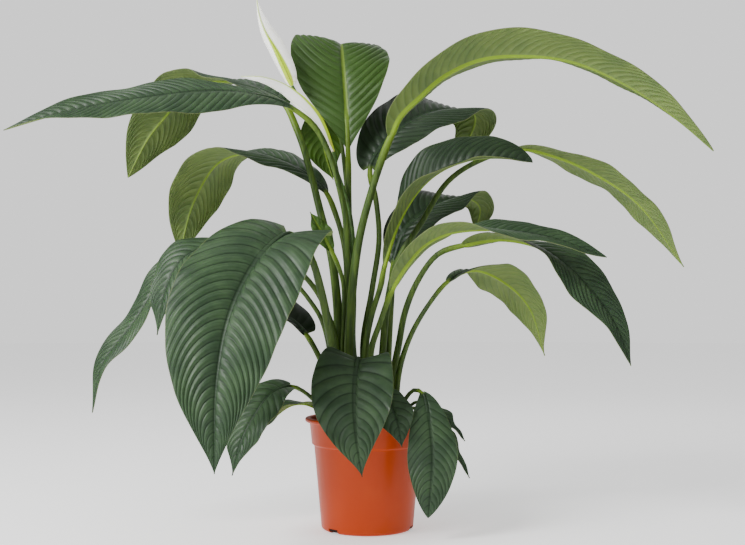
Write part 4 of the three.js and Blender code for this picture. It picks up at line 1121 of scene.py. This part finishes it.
def rounded(profile, radius, count=4):
    """The profile with each corner replaced by a small arc, which takes up less than half of
    each side beside it."""
    corners = [np.array(p, float) for p in profile]
    result = [corners[0]]
    for before, corner, after in zip(corners, corners[1:], corners[2:]):
        shorter = min(np.linalg.norm(before - corner), np.linalg.norm(after - corner))
        cut = min(radius, 0.45 * shorter)
        first = corner + unit(before - corner) * cut
        last = corner + unit(after - corner) * cut
        for t in np.linspace(0, 1, count + 1):
            result.append((1 - t) ** 2 * first + 2 * t * (1 - t) * corner + t**2 * last)
    return [*result, corners[-1]]


def pot_profile(look):
    """The pot's outside from its foot up, and its inside from the lip down, as radius and height."""
    rim, height, wall = look.rim_radius / MM, look.height / MM, look.wall / MM
    collar_top, collar_foot = rim - COLLAR_TOP_INSET, rim - COLLAR_FOOT_INSET
    body_top, body_foot, foot = rim - BODY_TOP_INSET, rim - BODY_FOOT_INSET, rim - FOOT_INSET
    collar_low, lip_low = height - COLLAR_HEIGHT, height - LIP_HEIGHT
    body_high = collar_low - COLLAR_STEP
    outside = [
        (foot - FOOT_CHAMFER, 0),
        (foot, FOOT_ROUND),
        (body_foot, FOOT_CHAMFER),
        (body_top, body_high),
        (collar_foot, collar_low),
        (collar_top, lip_low),
        (rim - LIP_ROUND, lip_low),
        (rim, lip_low + LIP_ROUND),
        (rim, height - LIP_ROUND),
        (rim - LIP_ROUND, height),
    ]
    inside = [
        (collar_top - wall + LIP_FLARE, height),
        (collar_top - wall, height - LIP_ROUND),
        (collar_foot - wall, collar_low),
        (body_top - wall, body_high),
        (body_foot - wall, POT_FLOOR),
    ]
    return outside, inside


def lathe(name, profile, sides):
    """A closed turned shape from a profile that starts and ends on the axis."""
    turns = 2 * np.pi * np.arange(sides) / sides
    points = [(0.0, 0.0, profile[0][1])]
    for radius, height in profile[1:-1]:
        points += [(radius * math.cos(t), radius * math.sin(t), height) for t in turns]
    points.append((0.0, 0.0, profile[-1][1]))
    rings = len(profile) - 2
    faces = []
    for k in range(sides):
        beside = (k + 1) % sides
        faces.append((0, 1 + beside, 1 + k))
        for ring in range(rings - 1):
            low, high = 1 + ring * sides, 1 + (ring + 1) * sides
            faces.append((low + k, low + beside, high + beside, high + k))
        top = 1 + (rings - 1) * sides
        faces.append((top + k, top + beside, len(points) - 1))
    return new_piece(name, points, faces)


def lumps(x, y):
    """Uneven ground, from -1 to 1: two waves, 20 to 37 mm long, that cross and bend each other."""
    first = np.sin(x * 0.31 + 1.3 * np.sin(y * 0.17))
    return first * np.sin(y * 0.27 + 1.1 * np.sin(x * 0.21))


# ---- Operators -----------------------------------------------------------------------------------


class PEACELILY_OT_pot(bpy.types.Operator):
    """Makes the nursery pot: a turned wall with a rolled lip, a collar and drain notches"""

    bl_idname = "peacelily.pot"
    bl_label = "Nursery Pot"

    def execute(self, context):
        look = context.scene.peacelily_pot
        outside, inside = pot_profile(look)
        profile = rounded([(0, 0), *outside, *inside, (0, POT_FLOOR)], POT_CORNER)
        piece = lathe("nursery_pot", profile, look.sides)
        cutter = bmesh.new()
        for i in range(DRAIN_COUNT):
            notch = bmesh.ops.create_cube(cutter, size=MM)["verts"]
            bmesh.ops.scale(cutter, vec=(DRAIN_DEPTH, DRAIN_WIDTH, 2 * DRAIN_HEIGHT), verts=notch)
            out = look.rim_radius / MM - BODY_FOOT_INSET + DRAIN_OFFSET
            bmesh.ops.translate(cutter, vec=(out * MM, 0, 0), verts=notch)
            turn = Matrix.Rotation(math.radians(DRAIN_TURN + i * 360 / DRAIN_COUNT), 3, "Z")
            bmesh.ops.rotate(cutter, cent=(0, 0, 0), matrix=turn, verts=notch)
        mesh = bpy.data.meshes.new("notches")
        cutter.to_mesh(mesh)
        cutter.free()
        notches = link("notches", mesh)
        cut = piece.modifiers.new("Drain Notches", "BOOLEAN")
        cut.operation, cut.solver, cut.object = "DIFFERENCE", "EXACT", notches
        graph = context.evaluated_depsgraph_get()
        piece.data = bpy.data.meshes.new_from_object(piece.evaluated_get(graph), depsgraph=graph)
        piece.modifiers.clear()
        bpy.data.objects.remove(notches)
        tidy_mesh(piece, sharp=40)
        piece.data.materials.clear()
        piece.data.materials.append(pot_material(look))
        dress(piece, "pot")
        return {"FINISHED"}


class PEACELILY_OT_soil(bpy.types.Operator):
    """Makes the soil: a mounded, uneven body strewn with crumbs"""

    bl_idname = "peacelily.soil"
    bl_label = "Potting Soil"

    def execute(self, context):
        look = context.scene.peacelily_soil
        _, (_, lip, collar, body, foot) = pot_profile(context.scene.peacelily_pot)
        level = (SOIL_TOP - collar[1]) / (lip[1] - collar[1])
        edge = collar[0] + (lip[0] - collar[0]) * level - SOIL_GAP - SOIL_EDGE_GAP
        below = [
            (0, POT_FLOOR + SOIL_GAP),
            (foot[0] - SOIL_GAP, POT_FLOOR + SOIL_GAP),
            (body[0] - SOIL_GAP, body[1]),
            (body[0] - SOIL_GAP, body[1] + SOIL_STEP),
            (edge - SOIL_EDGE_ROUND, SOIL_TOP - SOIL_EDGE_DROP),
        ]
        rings = np.linspace(edge, SOIL_CORE, SOIL_RINGS)
        mound = [(r, SOIL_TOP + SOIL_MOUND * (1 - (r / edge) ** 2)) for r in rings]
        profile = [*below, *mound, (0, SOIL_TOP + SOIL_MOUND)]
        piece = lathe("potting_soil", profile, SOIL_SIDES)
        points = np.empty(len(piece.data.vertices) * 3)
        piece.data.vertices.foreach_get("co", points)
        points = points.reshape(-1, 3) / MM
        radius = np.hypot(points[:, 0], points[:, 1])
        upper = (points[:, 2] > SOIL_TOP - 1) & (radius < edge - 1)
        uneven = lumps(points[:, 0], points[:, 1]) * SOIL_LUMP
        points[:, 2] += np.where(upper, uneven - SOIL_LUMP, 0)
        piece.data.vertices.foreach_set("co", (points * MM).ravel())
        layer = piece.data.attributes.new("top", "BOOLEAN", "POINT")
        layer.data.foreach_set("value", upper & (radius < edge - CRUMB_MARGIN))
        tidy_mesh(piece, sharp=50)
        values = {"Crumb Size": look.crumb, "Density": look.density, "Seed": look.seed}
        bake_tree(piece, crumb_tree(), {**values, "Material": soil_material(look)})
        dress(piece, "soil")
        return {"FINISHED"}


class PEACELILY_OT_leaves(bpy.types.Operator):
    """Makes every leaf: stalk, midrib and a blade that bulges between its side veins"""

    bl_idname = "peacelily.leaves"
    bl_label = "Leaves"

    def execute(self, context):
        look = context.scene.peacelily_leaves
        material = leaf_material(look)
        tree = relief_tree()
        depths = {"Vein Depth": look.vein_depth, "Furrow Depth": look.furrow_depth}
        for seed, (name, leaf) in enumerate(LEAVES.items()):
            shape = {**USUAL_LEAF, **leaf}
            piece = leaf_piece(name.replace("leaf_", "ribbed_leaf_"), shape, look, seed)
            bake_tree(piece, tree, {**depths, "Material": material})
            dress(piece, name)
        return {"FINISHED"}


class PEACELILY_OT_blooms(bpy.types.Operator):
    """Makes both blooms: a round stalk, a white hood and a spike of florets"""

    bl_idname = "peacelily.blooms"
    bl_label = "Blooms"

    def execute(self, context):
        look = context.scene.peacelily_blooms
        leaf_look = context.scene.peacelily_leaves
        hood_paint = hood_material(look)
        spike_paint = plant_material("spadix_florets", (look.spike, look.hood), 0.6, 0.0006)
        stalk_paint = plant_material("flower_stalk", (look.stalk, leaf_look.stalk), 0.4, 0.002)
        for name, bloom in BLOOMS.items():
            self.stalk(name, bloom, stalk_paint)
            self.hood(name, bloom, leaf_look, hood_paint)
            self.spike(name, bloom, look, spike_paint)
        return {"FINISHED"}

    def ends(self, bloom):
        """The stalk's upper end, the way on from there, and the hood's inward side."""
        end = np.array(bloom["stalk"][-1], float)
        heading = unit(np.array(bloom["hood"][1], float) - end)
        inward = np.array(bloom["inward"], float)
        return end, heading, unit(inward - heading * inward.dot(heading))

    def stalk(self, name, bloom, paint):
        line, _ = walk(np.array(bloom["stalk"], float), 0, 1, BLOOM_STALK_POINTS)
        mesh = bpy.data.meshes.new(f"bloom_stalk_{name}")
        mesh.from_pydata((line * MM).tolist(), [(i, i + 1) for i in range(len(line) - 1)], [])
        piece = link(mesh.name, mesh)
        foot, neck = BLOOM_STALK
        radii = {"Foot Radius": foot * MM, "Neck Radius": neck * MM}
        values = {**radii, "Sides": BLOOM_STALK_SIDES, "Material": paint}
        bake_tree(piece, rod_tree(), values)
        dress(piece, f"bloom_{name}_stalk")

    def hood(self, name, bloom, look, paint):
        end, heading, inward = self.ends(bloom)
        start = end + heading * PART_GAP - inward * HOOD_OFFSET
        shape = {
            **USUAL_LEAF,
            **bloom,
            "path": [tuple(start), *bloom["hood"][1:]],
            "faces": [bloom["inward"], bloom["inward"]],
            "base": 0,
            "stalk": (HOOD_RIB, HOOD_RIB),
            "lobe": 0,
            "wave": HOOD_WAVE,
        }
        piece = leaf_piece(f"bloom_hood_{name}", shape, look, HOOD_SEED)
        piece.data.materials.append(paint)
        dress(piece, f"bloom_{name}_hood")

    def spike(self, name, bloom, look, paint):
        end, heading, inward = self.ends(bloom)
        foot = end + heading * SPIKE_LIFT + inward * SPIKE_FOOT_OFFSET
        line, hood_length = walk(np.array(bloom["hood"], float), 0, 1, WALK_STEPS)
        beside = line[round((WALK_STEPS - 1) * SPIKE_LENGTH / hood_length)]
        top = beside + inward * SPIKE_TOP_OFFSET
        axis = unit(top - foot)
        aside = unit(np.cross(axis, inward))
        across = np.cross(aside, axis)
        points, floret = [], []
        for row in range(SPIKE_ROWS + 1):
            u = row / SPIKE_ROWS
            rise = min(max((u - SPIKE_BARE) / (SPIKE_FULL - SPIKE_BARE), 0), 1)
            swell = rise * rise * (3 - 2 * rise) * math.sqrt(1 - (SPIKE_BLUNTNESS * u) ** 4)
            body = SPIKE_FOOT_RADIUS + (SPIKE_RADIUS - SPIKE_FOOT_RADIUS) * swell
            for k in range(SPIKE_SIDES):
                turn = math.tau * k / SPIKE_SIDES
                ray = across * math.cos(turn) + aside * math.sin(turn)
                points.append(foot + (top - foot) * u + ray * body)
                floret.append(u > SPIKE_BARE and (k + row) % 2 == 0 and row % 2 == 0)
        piece = new_piece(f"bloom_spike_{name}", points, tube_faces(SPIKE_ROWS + 1, SPIKE_SIDES))
        layer = piece.data.attributes.new("floret", "BOOLEAN", "POINT")
        layer.data.foreach_set("value", floret)
        tidy_mesh(piece)
        values = {"Floret Size": look.floret, "Seed": look.seed, "Material": paint}
        bake_tree(piece, floret_tree(), values)
        dress(piece, f"bloom_{name}_spike")


class PEACELILY_OT_stage(bpy.types.Operator):
    """Sets the pale studio floor, the soft lights, the white surround and the camera"""

    bl_idname = "peacelily.stage"
    bl_label = "Studio Stage"

    def execute(self, context):
        look = context.scene.peacelily_stage
        floor = bmesh.new()
        bmesh.ops.create_circle(floor, cap_ends=True, radius=look.radius, segments=96)
        mesh = bpy.data.meshes.new("studio_floor")
        floor.to_mesh(mesh)
        floor.free()
        mesh.materials.append(floor_material(look))
        piece = link("studio_floor", mesh)
        for name, place, size, setting in LIGHTS:
            light = bpy.data.lights.new(name, "AREA")
            light.shape, light.size, light.energy = "DISK", size, getattr(look, setting)
            lamp = link(name, light)
            lamp.location = place
            aim = LIGHT_TARGET - lamp.location
            lamp.rotation_euler = aim.to_track_quat("-Z", "Y").to_euler()
            lamp.visible_camera = False
        world = bpy.data.worlds.new("white_surround")
        world.use_nodes = True
        surround = world.node_tree.nodes["Background"]
        surround.inputs["Color"].default_value = (1, 1, 1, 1)
        tree = world.node_tree
        direction = add(tree, "ShaderNodeTexCoord").outputs["Generated"]
        height = add(tree, "ShaderNodeSeparateXYZ", {"Vector": direction}).outputs["Z"]
        overhead = steps(tree, height, 0.0, 1.0, look.sky * 0.25, look.sky)
        seen = add(tree, "ShaderNodeLightPath").outputs["Is Camera Ray"]
        inputs = {"Factor": seen, "A": overhead, "B": look.backdrop}
        strength = add(tree, "ShaderNodeMix", inputs).outputs["Result"]
        tree.links.new(strength, surround.inputs["Strength"])
        context.scene.world = world
        camera = link("camera", bpy.data.cameras.new("camera"))
        camera.data.sensor_width = CAMERA_SENSOR
        camera.data.lens = CAMERA_LENS
        camera.data.clip_end = CAMERA_REACH
        camera.location = CAMERA_PLACE
        camera.rotation_euler = (math.radians(CAMERA_TILT), 0, 0)
        context.scene.camera = camera
        return {"FINISHED"}


# ---- Panel and start -----------------------------------------------------------------------------

OPERATORS = (
    PEACELILY_OT_pot,
    PEACELILY_OT_soil,
    PEACELILY_OT_leaves,
    PEACELILY_OT_blooms,
    PEACELILY_OT_stage,
)


class PEACELILY_PT_panel(bpy.types.Panel):
    """Lists the plant's pieces and the stage"""

    bl_idname = "PEACELILY_PT_panel"
    bl_label = "Peace Lily"
    bl_space_type = "VIEW_3D"
    bl_region_type = "UI"
    bl_category = "Peace Lily"

    def draw(self, context):
        for operator in OPERATORS:
            self.layout.operator(operator.bl_idname)


SETTINGS = {
    "peacelily_pot": PotSettings,
    "peacelily_soil": SoilSettings,
    "peacelily_leaves": LeafSettings,
    "peacelily_blooms": BloomSettings,
    "peacelily_stage": StageSettings,
}


def register():
    for kind in (*SETTINGS.values(), *OPERATORS, PEACELILY_PT_panel):
        bpy.utils.register_class(kind)
    for name, kind in SETTINGS.items():
        setattr(bpy.types.Scene, name, PointerProperty(type=kind))


def unregister():
    for name in SETTINGS:
        delattr(bpy.types.Scene, name)
    for kind in reversed((*SETTINGS.values(), *OPERATORS, PEACELILY_PT_panel)):
        bpy.utils.unregister_class(kind)


def main():
    register()
    bpy.ops.peacelily.pot()
    bpy.ops.peacelily.soil()
    bpy.ops.peacelily.leaves()
    bpy.ops.peacelily.blooms()
    bpy.ops.peacelily.stage()


if __name__ == "__main__":
    main()
